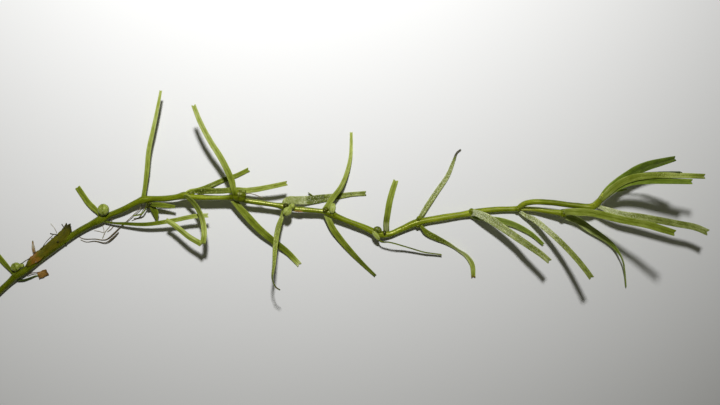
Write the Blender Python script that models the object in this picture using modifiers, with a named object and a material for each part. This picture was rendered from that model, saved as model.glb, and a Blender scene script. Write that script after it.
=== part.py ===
"""A cut sprig of water starwort, lying on a flat surface at its real size.

The stem runs along X, from its cut end at -X to the growing tip at +X, and the
surface that it lies on is the plane Z = 0. The origin is the middle of the
sprig's outer box, at the bottom. Joints are the swellings of the stem where
leaves stand, counted from the cut end.
"""

import math

import bmesh
import bpy
import numpy as np
from mathutils import Matrix, Vector

mm = 0.001

# Driving dimensions, in millimetres
leaf_thickness = 0.22
leaf_groove = 0.06
notch_depth = 0.34
sheath_thickness = 0.16
root_radius = 0.07
thread_radius = 0.06
fruit_lobe_depth = 0.13

# Number of steps from one route point to the next
stem_steps = 2
leaf_steps = 2
root_steps = 2

# From the point that the routes are measured from to the middle of the outer box
middle_x = -4.1
middle_y = 0.2

# Routes along the middle of each axis: x, y, height, radius
stem_route = [
    (-54.0, -15.2, 0.43, 0.43),
    (-51.4, -12.7, 0.44, 0.44),
    (-49.6, -11.05, 0.48, 0.48),
    (-49.0, -10.5, 0.56, 0.56),
    (-47.9, -9.85, 0.53, 0.53),
    (-45.8, -8.2, 0.50, 0.50),
    (-44.15, -6.98, 0.50, 0.48),
    (-42.25, -5.55, 0.50, 0.45),
    (-39.9, -3.95, 0.52, 0.42),
    (-38.4, -3.15, 0.56, 0.42),
    (-36.7, -2.3, 0.64, 0.58),
    (-35.9, -1.9, 0.70, 0.43),
    (-33.6, -0.95, 0.90, 0.40),
    (-31.5, 0.1, 1.20, 0.44),
    (-30.6, 0.4, 1.30, 0.56),
    (-29.8, 0.5, 1.40, 0.45),
    (-27.4, 0.6, 1.80, 0.46),
    (-24.7, 1.0, 2.10, 0.54),
    (-23.8, 0.8, 2.15, 0.42),
    (-22.0, 0.7, 2.20, 0.40),
    (-18.4, 0.7, 2.20, 0.41),
    (-17.2, 0.75, 2.20, 0.60),
    (-16.3, 0.35, 2.10, 0.42),
    (-14.3, 0.0, 1.95, 0.38),
    (-11.7, -0.4, 1.85, 0.38),
    (-10.6, -0.6, 1.80, 0.52),
    (-9.7, -0.7, 1.70, 0.39),
    (-7.4, -0.9, 1.50, 0.37),
    (-5.3, -1.15, 1.30, 0.38),
    (-4.4, -1.4, 1.25, 0.54),
    (-3.3, -2.0, 1.15, 0.42),
    (0.7, -3.6, 0.90, 0.40),
    (3.0, -4.55, 0.70, 0.54),
    (4.0, -4.55, 0.58, 0.44),
    (5.8, -3.85, 0.50, 0.45),
    (8.3, -2.8, 0.58, 0.54),
    (9.3, -2.6, 0.52, 0.49),
    (11.9, -2.15, 0.50, 0.49),
    (15.0, -1.65, 0.50, 0.47),
    (15.8, -1.5, 0.54, 0.52),
    (16.7, -1.3, 0.48, 0.44),
    (19.6, -1.0, 0.43, 0.41),
    (21.8, -0.93, 0.50, 0.40),
    (22.6, -0.88, 0.60, 0.45),
]
upper_branch_route = [
    (23.3, -0.2, 1.25, 0.34),
    (24.2, 0.02, 1.65, 0.36),
    (26.7, -0.02, 2.10, 0.40),
    (30.2, -0.42, 2.45, 0.41),
    (32.8, -0.5, 2.80, 0.54),
    (33.4, 0.3, 3.25, 0.42),
    (34.5, 1.7, 4.20, 0.42),
    (35.3, 2.4, 4.80, 0.34),
]
side_shoot_route = [
    (23.5, -0.9, 0.72, 0.30),
    (25.1, -1.0, 0.90, 0.35),
    (26.9, -1.3, 1.20, 0.37),
    (28.6, -1.5, 1.50, 0.48),
]
root_routes = {
    "root_a": [
        (-31.1, -0.5, 0.65),
        (-32.3, -1.8, 0.40),
        (-33.4, -2.8, 0.30),
        (-34.3, -3.6, 0.25),
        (-35.1, -4.4, 0.20),
        (-36.3, -5.3, 0.12),
        (-37.8, -5.2, 0.10),
        (-39.7, -5.1, 0.10),
        (-40.1, -4.9, 0.10),
    ],
    "root_b": [
        (-34.4, -4.2, 0.30),
        (-35.3, -5.1, 0.40),
        (-36.2, -5.7, 0.30),
        (-37.8, -5.5, 0.15),
        (-39.2, -5.6, 0.10),
        (-39.9, -5.3, 0.10),
    ],
    "root_c": [
        (-15.9, 1.25, 2.40),
        (-14.8, 1.1, 2.45),
        (-13.6, 0.6, 2.45),
    ],
}
thread_route = [(-47.1, -10.2, 0.45), (-46.6, -10.35, 0.40), (-46.2, -10.35, 0.35)]

# Leaves, from the stem outwards: x, y, height, width, tilt in degrees
leaf_routes = {
    "leaf_1": [
        (-49.6, -9.7, 0.55, 0.50, 0),
        (-50.6, -8.7, 0.40, 0.70, 0),
        (-52.6, -6.5, 0.22, 0.75, 0),
        (-54.6, -4.5, 0.15, 0.72, 0),
        (-56.3, -2.9, 0.14, 0.66, 0),
    ],
    "leaf_2a": [
        (-37.2, -1.45, 0.5, 0.55, 0),
        (-37.9, -0.8, 0.42, 0.78, 0),
        (-38.65, -0.1, 0.32, 0.83, 0),
        (-39.5, 1.0, 0.2, 0.83, 0),
        (-40.35, 2.25, 0.14, 0.8, 0),
    ],
    "leaf_2b": [
        (-35.9, -2.8, 0.60, 0.30, 0),
        (-33.2, -3.0, 1.10, 0.45, 0),
        (-30.6, -3.1, 1.50, 0.55, 0),
        (-26.7, -2.6, 2.15, 0.62, 0),
        (-22.9, -1.9, 2.60, 0.64, 0),
        (-21.2, -1.8, 2.75, 0.62, 0),
    ],
    "leaf_3a": [
        (-30.6, 1.2, 1.35, 0.60, 0),
        (-30.15, 4.4, 1.50, 0.68, 0),
        (-29.8, 7.5, 1.80, 0.66, 10),
        (-29.1, 10.5, 2.10, 0.57, 15),
        (-28.4, 13.7, 2.30, 0.48, 20),
        (-28.0, 15.8, 2.40, 0.38, 20),
    ],
    "leaflet_3b": [
        (-29.2, -0.45, 1.50, 0.45, 0),
        (-27.7, -0.6, 1.70, 0.62, 0),
        (-25.9, -0.8, 1.90, 0.50, 0),
    ],
    "leaflet_3c": [
        (-29.6, -0.85, 1.05, 0.50, 0),
        (-29.05, -1.6, 1.00, 0.72, 15),
        (-28.6, -2.4, 1.00, 0.20, 20),
    ],
    "leaflet_3d": [
        (-30.4, -0.8, 0.95, 0.18, 0),
        (-30.9, -1.55, 0.90, 0.24, 0),
        (-32.2, -1.9, 0.80, 0.20, 0),
    ],
    "leaf_4a": [
        (-23.9, 1.85, 2.15, 0.34, 0),
        (-23.05, 1.95, 1.6, 0.5, 0),
        (-22.1, 2.2, 0.85, 0.56, 0),
        (-21.25, 2.5, 0.4, 0.6, 0),
        (-19.75, 3.12, 0.2, 0.62, 0),
        (-17.6, 3.87, 0.15, 0.6, 0),
        (-15.8, 4.75, 0.14, 0.58, 0),
    ],
    "leaf_4c": [
        (-23.0, 1.65, 2.55, 0.4, 0),
        (-22.0, 1.68, 2.75, 0.68, 0),
        (-20.6, 1.68, 2.85, 0.72, 0),
        (-19.2, 1.74, 2.75, 0.7, 0),
        (-18.1, 1.85, 2.35, 0.62, 0),
        (-17.2, 1.92, 1.95, 0.6, 0),
        (-16.3, 1.92, 1.9, 0.62, 0),
        (-15.0, 1.98, 2.35, 0.68, 0),
        (-13.0, 2.25, 2.9, 0.68, 0),
        (-10.1, 2.75, 3.3, 0.64, 0),
    ],
    "leaf_5a": [
        (-17.6, 1.45, 3.05, 0.72, 0),
        (-17.9, 2.9, 3.15, 0.90, 0),
        (-18.35, 4.1, 3.40, 0.90, 0),
        (-19.4, 6.3, 4.00, 0.87, 0),
        (-20.75, 8.5, 4.50, 0.80, 0),
        (-22.1, 11.2, 5.10, 0.72, 0),
        (-22.95, 13.5, 5.50, 0.64, 0),
    ],
    "leaf_5b": [
        (-17.2, -0.45, 2.00, 0.70, 0),
        (-15.95, -1.95, 1.80, 1.08, 0),
        (-14.15, -3.85, 1.40, 1.06, 0),
        (-12.25, -5.5, 0.90, 0.94, 0),
        (-10.35, -7.05, 0.40, 0.84, 0),
        (-8.55, -8.95, 0.14, 0.76, 0),
    ],
    "leaf_6a": [
        (-10.8, -1.4, 1.75, 0.60, 0),
        (-11.5, -3.6, 2.50, 0.76, 0),
        (-11.8, -5.8, 3.40, 0.70, 0),
        (-11.9, -8.5, 4.50, 0.57, 30),
        (-12.0, -10.9, 5.20, 0.40, 60),
        (-11.6, -11.7, 5.40, 0.26, 75),
        (-11.0, -12.1, 5.40, 0.22, 75),
    ],
    "leaf_6b": [
        (-10.2, 0.55, 1.75, 0.7, 0),
        (-9.3, 0.47, 1.35, 0.95, 0),
        (-8.4, 0.38, 0.9, 1.15, 0),
        (-7.6, 0.36, 0.45, 1.2, 0),
        (-6.8, 0.4, 0.2, 1.22, 0),
        (-5.7, 0.54, 0.15, 1.15, 0),
        (-4.85, 0.66, 0.14, 1.05, 0),
        (-2.55, 0.99, 0.14, 0.8, 0),
        (-1.15, 1.18, 0.14, 0.66, 0),
        (0.93, 1.33, 0.14, 0.66, 0),
    ],
    "leaf_7a": [
        (-4.6, -0.5, 1.75, 0.60, 0),
        (-3.9, 0.6, 1.85, 0.70, 0),
        (-2.95, 1.8, 1.75, 0.70, 0),
        (-1.75, 4.6, 0.95, 0.60, 0),
        (-1.3, 6.9, 0.45, 0.52, 0),
        (-1.25, 8.5, 0.20, 0.46, 0),
        (-1.25, 10.1, 0.14, 0.40, 0),
    ],
    "leaf_7b": [
        (-4.5, -2.3, 1.10, 0.60, 0),
        (-3.9, -3.6, 0.80, 0.78, 0),
        (-2.55, -5.5, 0.45, 0.78, 0),
        (-1.0, -7.3, 0.25, 0.70, 0),
        (0.6, -8.95, 0.15, 0.54, 0),
        (2.25, -10.5, 0.14, 0.38, 0),
    ],
    "leaf_8b": [
        (2.9, -5.5, 1.5, 0.35, 60),
        (4.06, -5.68, 1.9, 0.46, 85),
        (6.5, -6.33, 1.25, 0.5, 88),
        (9.0, -7.08, 0.65, 0.5, 88),
        (11.7, -7.5, 0.4, 0.5, 88),
    ],
    "leaf_9a": [
        (8.75, -1.75, 0.85, 0.45, 0),
        (9.35, -0.8, 0.6, 0.66, 0),
        (11.0, 1.6, 0.25, 0.72, 0),
        (12.6, 4.0, 0.15, 0.64, 0),
        (13.4, 6.0, 0.15, 0.46, 5),
        (13.9, 7.2, 0.19, 0.3, 20),
        (14.4, 7.6, 0.22, 0.22, 30),
    ],
    "leaf_9b": [
        (8.6, -3.65, 0.80, 0.45, 0),
        (9.5, -4.75, 0.62, 0.85, 15),
        (10.9, -5.5, 0.55, 0.95, 25),
        (12.5, -6.1, 0.50, 0.75, 45),
        (14.0, -6.95, 0.45, 0.60, 70),
        (15.2, -7.75, 0.38, 0.60, 45),
        (15.95, -8.8, 0.20, 0.64, 10),
        (16.2, -10.8, 0.14, 0.56, 0),
    ],
    "leaf_10a": [
        (16.1, -1.3, 1.5, 0.75, 0),
        (17.2, -1.8, 1.9, 1.05, 0),
        (20.25, -3.7, 2.5, 1.06, 0),
        (22.0, -4.95, 3.1, 1.0, 0),
        (23.6, -6.1, 4.2, 0.94, 0),
        (25.2, -7.3, 5.0, 0.86, 0),
        (26.2, -8.2, 5.4, 0.78, 0),
    ],
    "leaf_10b": [
        (16.5, -2.2, 0.75, 0.40, 30),
        (18.1, -2.25, 0.70, 0.84, 36),
        (19.7, -2.5, 0.65, 1.00, 38),
        (22.4, -3.35, 0.60, 0.98, 38),
        (24.3, -4.4, 0.50, 0.76, 35),
        (26.2, -6.0, 0.40, 0.43, 30),
    ],
    "leaf_11": [
        (23.2, -1.65, 0.70, 0.55, 0),
        (24.35, -2.25, 1.20, 0.76, 0),
        (26.65, -4.15, 2.40, 0.80, 0),
        (29.1, -6.75, 4.20, 0.80, 0),
        (31.1, -9.5, 6.20, 0.78, 0),
        (31.65, -10.4, 6.80, 0.76, 0),
    ],
    "leaf_12a": [
        (29.3, -1.35, 2.3, 0.7, 0),
        (30.76, -1.42, 3.2, 1.05, 0),
        (33.14, -1.66, 4.95, 1.05, 0),
        (35.5, -2.3, 6.6, 1.03, 0),
        (37.7, -2.8, 8.6, 0.98, 0),
        (39.83, -3.45, 10.6, 0.95, 0),
        (41.5, -4.05, 12.0, 0.85, 0),
    ],
    "leaf_12b": [
        (29.2, -2.1, 1.1, 0.5, 8),
        (30.66, -2.45, 0.95, 0.8, 12),
        (32.69, -3.77, 0.75, 0.85, 15),
        (34.14, -4.69, 0.65, 0.78, 20),
        (35.27, -5.48, 0.65, 0.7, 25),
        (36.1, -6.25, 0.75, 0.62, 40),
        (36.96, -7.58, 1.2, 0.52, 70),
        (37.58, -9.59, 0.8, 0.46, 80),
        (37.9, -12.1, 0.35, 0.42, 80),
    ],
    "leaf_13": [
        (34.0, -0.95, 2.85, 0.55, 0),
        (35.0, -1.2, 3.1, 0.82, 0),
        (36.5, -1.6, 3.3, 0.96, 0),
        (38.9, -2.0, 3.7, 1.03, 0),
        (41.4, -2.43, 4.2, 1.0, 0),
        (44.0, -2.93, 4.6, 0.97, 0),
        (46.6, -3.5, 4.8, 0.93, 0),
        (48.2, -4.2, 4.9, 0.9, 0),
    ],
    "tip_leaf_a": [
        (35.5, 3.3, 4.3, 0.5, 0),
        (37.14, 3.95, 4.35, 1.0, 0),
        (38.54, 4.55, 4.4, 1.08, 0),
        (40.13, 5.15, 4.4, 1.05, 0),
        (41.71, 5.59, 4.4, 0.92, 0),
        (43.85, 6.13, 4.4, 0.68, 0),
    ],
    "tip_leaf_b": [
        (35.8, 2.65, 5.5, 0.6, 0),
        (37.3, 3.35, 6.35, 0.85, 0),
        (39.4, 3.6, 7.2, 0.87, 0),
        (42.7, 3.6, 8.45, 0.8, 0),
        (46.3, 3.5, 9.45, 0.71, 0),
    ],
    "tip_leaf_c": [
        (35.9, 2.0, 4.95, 0.5, 0),
        (37.4, 2.75, 5.85, 0.85, 0),
        (39.7, 3.0, 6.7, 0.9, 0),
        (41.5, 2.95, 7.4, 0.85, 0),
        (44.8, 2.8, 8.4, 0.75, 0),
    ],
    "tip_leaf_d": [
        (38.6, 3.95, 5.3, 0.3, 60),
        (39.8, 4.06, 5.65, 0.42, 75),
        (41.3, 4.12, 6.6, 0.48, 82),
        (43.45, 4.09, 7.85, 0.42, 85),
    ],
    "tip_leaf_e": [
        (35.6, 1.6, 4.20, 0.30, 0),
        (36.3, 1.7, 4.35, 0.35, 0),
        (37.0, 1.85, 4.50, 0.16, 0),
    ],
}

# This leaf lies flat on the surface, so it has no groove
flat_leaf_route = [
    (3.75, -3.85, 0.34, 0.50, 0),
    (3.75, -2.9, 0.13, 0.80, 0),
    (3.95, -1.5, 0.11, 0.88, 0),
    (4.2, 0.0, 0.11, 0.90, 0),
    (4.7, 1.9, 0.11, 0.84, 0),
    (5.15, 3.25, 0.11, 0.74, 0),
]

# This leaf folds back under itself: x, y, height, width, direction of its width in plan
folded_leaf_route = [
    (-24.3, 0.8, 2.90, 0.50, 217),
    (-23.55, 0.2, 3.00, 0.66, 215),
    (-22.6, -1.0, 3.30, 0.72, 205),
    (-22.0, -2.3, 3.60, 0.74, 192),
    (-21.7, -3.7, 3.95, 0.78, 183),
    (-21.7, -5.0, 4.25, 0.78, 184),
    (-21.95, -5.75, 4.10, 0.80, 208),
    (-22.6, -5.5, 3.75, 0.80, 232),
    (-23.6, -4.95, 3.65, 0.78, 235),
    (-25.1, -3.8, 3.50, 0.75, 233),
    (-26.9, -2.2, 3.15, 0.70, 228),
]

# Withered pieces
dead_leaf_route = [
    (-46.9, -8.5, 1.40, 0.60, -8),
    (-45.8, -7.5, 1.42, 1.05, -10),
    (-44.2, -6.2, 1.35, 1.15, -12),
    (-42.8, -4.9, 1.20, 1.10, -15),
    (-42.0, -3.85, 1.00, 0.95, -10),
    (-41.5, -2.75, 0.80, 0.45, 0),
]
dead_spike_route = [
    (-46.25, -6.75, 1.30, 0.34, 20),
    (-46.25, -6.2, 1.35, 0.46, 10),
    (-46.35, -5.4, 1.30, 0.16, 0),
]
flake_route = [
    (-45.9, -10.45, 0.35, 0.85, 0),
    (-45.2, -10.2, 0.30, 0.90, 5),
    (-44.55, -9.9, 0.30, 0.85, 10),
]

# Fruits: middle x, y, height, then half length, half width, half height and turn in plan
fruits = {
    "fruit_1a": (-48.9, -9.05, 0.95, 0.52, 0.48, 0.46, 20),
    "fruit_1b": (-48.0, -8.95, 0.95, 0.32, 0.32, 0.30, 0),
    "fruit_2": (-36.15, -1.0, 1.65, 0.78, 0.74, 0.62, 80),
    "fruit_5": (-16.4, 1.45, 2.75, 0.52, 0.44, 0.46, 10),
    "fruit_6a": (-10.15, -1.4, 2.80, 0.68, 0.62, 0.54, 70),
    "fruit_6b": (-9.5, -0.45, 2.65, 0.36, 0.34, 0.36, 20),
    "fruit_7": (-3.55, -0.85, 2.10, 0.72, 0.34, 0.38, 80),
    "fruit_8a": (2.1, -5.0, 1.65, 0.72, 0.42, 0.42, -50),
    "fruit_8b": (2.35, -3.45, 1.35, 0.36, 0.34, 0.34, 20),
}

# Colours as the eye sees them, 0 to 1, with the roughness of the surface
finishes = {
    "stem_green": ((0.45, 0.54, 0.14), 0.45),
    "leaf_green": ((0.42, 0.53, 0.14), 0.42),
    "pale_leaf": ((0.64, 0.70, 0.40), 0.32),
    "dark_leaf": ((0.28, 0.40, 0.07), 0.45),
    "fruit_green": ((0.62, 0.68, 0.38), 0.40),
    "withered_brown": ((0.32, 0.27, 0.06), 0.70),
    "flake_brown": ((0.50, 0.36, 0.14), 0.75),
    "root_brown": ((0.46, 0.34, 0.30), 0.60),
}
pale_leaves = {"leaf_6b", "leaf_9a", "leaf_10a", "leaf_11", "leaf_13"}
dark_leaves = {"leaf_10b", "leaf_12b", "tip_leaf_a", "tip_leaf_c", "tip_leaf_d", "tip_leaf_e"}


def clear_scene():
    for obj in list(bpy.data.objects):
        bpy.data.objects.remove(obj, do_unlink=True)


def to_linear(value):
    if value <= 0.04045:
        return value / 12.92
    return ((value + 0.055) / 1.055) ** 2.4


def add_finish(object_name, finish):
    """A Principled material of the piece's own."""
    colour, roughness = finishes[finish]
    material = bpy.data.materials.new(object_name + "_" + finish)
    material.use_nodes = True
    shader = material.node_tree.nodes["Principled BSDF"]
    shader.inputs["Base Color"].default_value = (*[to_linear(c) for c in colour], 1.0)
    shader.inputs["Roughness"].default_value = roughness
    shader.inputs["Metallic"].default_value = 0.0
    material.diffuse_color = (*colour, 1.0)
    return material


def finish_object(obj, collection, finish):
    obj.data.materials.append(add_finish(obj.name, finish))
    collection.objects.link(obj)
    return obj


def smooth_rows(route, steps):
    """A smooth curve through the route's points, every value of a point blended alike."""
    points = np.array(route, float)
    gaps = np.linalg.norm(np.diff(points[:, :3], axis=0), axis=1)
    distance = np.concatenate([[0.0], np.cumsum(gaps)])
    slopes = np.gradient(points, distance, axis=0)
    rows = []
    for i in range(len(points) - 1):
        for step in range(steps):
            t = step / steps
            start_part = (1 + 2 * t) * (1 - t) ** 2
            end_part = t * t * (3 - 2 * t)
            leave = t * (1 - t) ** 2 * gaps[i]
            arrive = t * t * (t - 1) * gaps[i]
            rows.append(
                points[i] * start_part
                + points[i + 1] * end_part
                + slopes[i] * leave
                + slopes[i + 1] * arrive
            )
    rows.append(points[-1])
    return np.array(rows)


def place(x, y, z):
    return Vector(((x - middle_x) * mm, (y - middle_y) * mm, z * mm))


def add_rod(name, route, steps, collection, finish, radius=None):
    """A round rod with flat ends. Its radius is the route's fourth value, or one for all."""
    rows = smooth_rows(route, steps)
    curve = bpy.data.curves.new(name, "CURVE")
    curve.dimensions = "3D"
    curve.bevel_depth = mm
    curve.bevel_resolution = 2
    curve.use_fill_caps = True
    spline = curve.splines.new("POLY")
    spline.points.add(len(rows) - 1)
    for point, row in zip(spline.points, rows):
        point.co = (*place(*row[:3]), 1.0)
        point.radius = row[3] if radius is None else radius
    spline.use_smooth = True
    return finish_object(bpy.data.objects.new(name, curve), collection, finish)


def row_frames(rows, plan_turns):
    """For each row its middle, its direction along the leaf, its side and its upper normal."""
    along = np.gradient(rows[:, :3], axis=0)
    frames = []
    for row, direction in zip(rows, along):
        middle = place(*row[:3])
        forward = Vector(direction).normalized()
        if plan_turns:
            angle = math.radians(row[4])
            side = Vector((math.cos(angle), math.sin(angle), 0.0))
            side = (side - forward * side.dot(forward)).normalized()
        else:
            side = forward.cross(Vector((0, 0, 1))).normalized()
            side = Matrix.Rotation(math.radians(row[4]), 3, forward) @ side
        frames.append((middle, forward, side, side.cross(forward), row[3] * mm))
    return frames


def add_blade(name, route, collection, finish, groove=leaf_groove, notch=notch_depth,
              thickness=leaf_thickness, plan_turns=False):
    """A narrow blade: an open grid laid along the route, then given its thickness."""
    rows = smooth_rows(route, leaf_steps)
    rows[:, 2] = np.maximum(rows[:, 2], (thickness + groove) / 2)
    frames = row_frames(rows, plan_turns)
    grid = bmesh.new()
    bmesh.ops.create_grid(grid, x_segments=2, y_segments=len(rows) - 1, size=1.0)
    for vertex in grid.verts:
        across = vertex.co.x
        index = round((vertex.co.y + 1) / 2 * (len(rows) - 1))
        middle, forward, side, up, width = frames[index]
        spot = middle + side * (across * width / 2)
        spot += up * (groove * mm * (abs(across) - 0.5))
        if index == len(rows) - 1:
            spot -= forward * (notch * width * (1 - abs(across)))
        vertex.co = spot
    mesh = bpy.data.meshes.new(name)
    grid.to_mesh(mesh)
    grid.free()
    mesh.shade_smooth()
    obj = finish_object(bpy.data.objects.new(name, mesh), collection, finish)
    wall = obj.modifiers.new("thickness", "SOLIDIFY")
    wall.thickness = thickness * mm
    wall.offset = 0.0
    return obj


def add_fruit(name, numbers, collection):
    """A ball pinched by two crossed grooves into four lobes."""
    x, y, z, half_length, half_width, half_height, turn = numbers
    ball = bmesh.new()
    bmesh.ops.create_uvsphere(ball, u_segments=12, v_segments=8, radius=1.0)
    for vertex in ball.verts:
        angle = math.atan2(vertex.co.y, vertex.co.x)
        height = vertex.co.z
        pinch = 1 - fruit_lobe_depth * math.cos(2 * angle) ** 2 * (1 - height * height)
        vertex.co.x *= pinch * half_length * mm
        vertex.co.y *= pinch * half_width * mm
        vertex.co.z *= half_height * mm
    mesh = bpy.data.meshes.new(name)
    ball.to_mesh(mesh)
    ball.free()
    mesh.shade_smooth()
    obj = bpy.data.objects.new(name, mesh)
    obj.location = place(x, y, z)
    obj.rotation_euler = (0.0, 0.0, math.radians(turn))
    return finish_object(obj, collection, "fruit_green")


def leaf_finish(name):
    if name in pale_leaves:
        return "pale_leaf"
    if name in dark_leaves:
        return "dark_leaf"
    return "leaf_green"


def build():
    clear_scene()
    sprig = bpy.data.collections.new("water_starwort")
    bpy.context.scene.collection.children.link(sprig)

    add_rod("stem", stem_route, stem_steps, sprig, "stem_green")
    add_rod("upper_branch", upper_branch_route, stem_steps, sprig, "stem_green")
    add_rod("side_shoot", side_shoot_route, stem_steps, sprig, "stem_green")

    for name, route in leaf_routes.items():
        add_blade(name, route, sprig, leaf_finish(name))
    add_blade("leaf_8a", flat_leaf_route, sprig, "leaf_green", groove=0.0)
    add_blade("leaf_4b", folded_leaf_route, sprig, "leaf_green", plan_turns=True)

    for name, numbers in fruits.items():
        add_fruit(name, numbers, sprig)

    add_blade("dead_leaf", dead_leaf_route, sprig, "withered_brown", thickness=sheath_thickness)
    add_blade("dead_spike", dead_spike_route, sprig, "withered_brown", thickness=sheath_thickness)
    add_blade("brown_flake", flake_route, sprig, "flake_brown", groove=0.0, notch=0.1,
              thickness=sheath_thickness)
    add_rod("flake_thread", thread_route, root_steps, sprig, "flake_brown", thread_radius)
    for name, route in root_routes.items():
        add_rod(name, route, root_steps, sprig, "root_brown", root_radius)


build()
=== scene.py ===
import math
from functools import partial

import bmesh
import bpy
import numpy as np
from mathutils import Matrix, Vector


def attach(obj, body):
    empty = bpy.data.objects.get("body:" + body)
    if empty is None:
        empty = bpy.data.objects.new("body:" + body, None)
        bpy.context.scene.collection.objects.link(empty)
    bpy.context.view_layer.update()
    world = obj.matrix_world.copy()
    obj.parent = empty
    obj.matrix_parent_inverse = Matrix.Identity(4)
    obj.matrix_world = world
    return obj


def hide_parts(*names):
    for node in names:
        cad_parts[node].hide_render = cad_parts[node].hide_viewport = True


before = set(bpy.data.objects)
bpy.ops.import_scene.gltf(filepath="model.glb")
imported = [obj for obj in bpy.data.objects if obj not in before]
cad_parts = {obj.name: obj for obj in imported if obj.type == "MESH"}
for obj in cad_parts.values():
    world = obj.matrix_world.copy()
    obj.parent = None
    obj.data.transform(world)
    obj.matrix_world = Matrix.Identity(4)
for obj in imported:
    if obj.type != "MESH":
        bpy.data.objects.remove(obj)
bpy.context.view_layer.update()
print("frame loaded:", len(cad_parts), "solids")

mm = 0.001
routeZero = (-4.1, 0.2, 0.0)  # mm, the middle of the sprig's box, as the routes measure it
maths, vectors = "ShaderNodeMath", "ShaderNodeVectorMath"
noise, mapRange = "ShaderNodeTexNoise", "ShaderNodeMapRange"
store, setPosition = "GeometryNodeStoreNamedAttribute", "GeometryNodeSetPosition"


def linearColour(code):
    # "#rrggbb" as the eye sees it, to the linear values that shaders take
    shares = [int(code[i:i + 2], 16) / 255 for i in (1, 3, 5)]
    return [s / 12.92 if s <= 0.04045 else ((s + 0.055) / 1.055) ** 2.4 for s in shares] + [1.0]


def addNode(tree, kind, settings=None, inputs=None):
    # settings: the operation alone, or several by name; inputs: values, sockets or whole nodes (their
    # first output), in socket order or by socket name
    node = tree.nodes.new(kind)
    if isinstance(settings, str):
        settings = {"operation": settings}
    for key, value in (settings or {}).items():
        if key == "stops":  # the colours of a ramp, evenly spaced
            ends = node.color_ramp.elements
            for i, code in enumerate(value[1:-1], 1):
                ends.new(i / (len(value) - 1)).color = linearColour(code)
            ends[0].color, ends[-1].color = linearColour(value[0]), linearColour(value[-1])
        else:
            setattr(node, key, value)
    for key, value in inputs.items() if isinstance(inputs, dict) else enumerate(inputs or []):
        if isinstance(value, bpy.types.Node):
            value = value.outputs[0]
        if isinstance(value, bpy.types.NodeSocket):
            tree.links.new(value, node.inputs[key])
        elif value is not None:
            node.inputs[key].default_value = value
    return node


# Paths: every stem, leaf and root follows a smooth line through given points, in mm

pathDetail = {"steps": 12, "spacing": 0.16, "leastRows": 4, "endRows": 4, "leafEnd": 0.12, "rodEnd": 0.2}


def distanceAlong(rows):
    gaps = np.linalg.norm(np.diff(rows[:, :3], axis=0), axis=1)
    return np.concatenate([[0.0], np.cumsum(gaps)]), gaps


def smoothRows(route):
    points = np.array(route, float)
    distance, gaps = distanceAlong(points)
    slopes = np.gradient(points, distance, axis=0)
    rows = []
    for i, gap in enumerate(gaps):
        for t in np.arange(pathDetail["steps"]) / pathDetail["steps"]:
            startPart = (1 + 2 * t) * (1 - t) ** 2
            endPart = t * t * (3 - 2 * t)
            leave = t * (1 - t) ** 2 * gap
            arrive = t * t * (t - 1) * gap
            rows.append(points[i] * startPart + points[i + 1] * endPart
                        + slopes[i] * leave + slopes[i + 1] * arrive)
    return np.array([*rows, points[-1]])


def evenRows(rows, endLength):
    # the same line in even steps, with closer rows at both ends so that they can round off
    distance = distanceAlong(rows)[0]
    length = distance[-1]
    turns = np.linspace(0, math.pi / 2, pathDetail["endRows"] + 1)[:-1]
    ends = endLength * (1 - np.cos(turns))
    count = max(pathDetail["leastRows"], int(length / pathDetail["spacing"]))
    middle = np.linspace(endLength, length - endLength, count)
    spots = np.concatenate([ends, middle, (length - ends)[::-1]])
    return np.stack([np.interp(spots, distance, column) for column in rows.T], axis=1), spots


def rowFrames(rows, spots, planTurns=False):
    # along, side and up directions of every row; the fifth value is a tilt, or a direction in plan
    along = np.gradient(rows[:, :3], spots, axis=0)
    along /= np.linalg.norm(along, axis=1, keepdims=True)
    turn = np.radians(rows[:, 4:5])
    if planTurns:
        side = np.hstack([np.cos(turn), np.sin(turn), np.zeros_like(turn)])
        side -= along * np.sum(side * along, axis=1, keepdims=True)
    else:
        side = np.cross(along, (0.0, 0.0, 1.0))
        side /= np.linalg.norm(side, axis=1, keepdims=True)
        side = side * np.cos(turn) + np.cross(along, side) * np.sin(turn)
    side /= np.linalg.norm(side, axis=1, keepdims=True)
    return along, side, np.cross(side, along)


def roundedEnds(spots, endLength):
    # 0 at both tips and 1 from endLength inwards, along a quarter of an ellipse
    inside = np.clip(np.minimum(spots, spots[-1] - spots) / endLength, 0, 1)
    return np.sqrt(1 - (1 - inside) ** 2)


def spread(places, marks):
    # marks: one value for all, a first and a last value, or values by place
    if not isinstance(marks, dict):
        marks = dict(enumerate(marks if isinstance(marks, tuple) else (marks, marks)))
    return np.interp(places, list(marks), list(marks.values()))


def inPlace(points):
    # route millimetres to the shared frame's metres
    return (np.asarray(points, float)[..., :3] - routeZero) * mm


def pathObject(name, rows, frames, values):
    mesh = bpy.data.meshes.new(name + "Path")
    middles = inPlace(rows)
    mesh.from_pydata(middles.tolist(), [(i, i + 1) for i in range(len(rows) - 1)], [])
    directions = {"pathMiddle": middles, "pathAlong": frames[0], "pathSide": frames[1], "pathUp": frames[2]}
    for key, data in directions.items():
        mesh.attributes.new(key, "FLOAT_VECTOR", "POINT").data.foreach_set("vector", data.ravel())
    for key, data in values.items():
        mesh.attributes.new(key, "FLOAT", "POINT").data.foreach_set("value", data.astype(np.float32))
    return bpy.data.objects.new(name + "Path", mesh)


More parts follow.
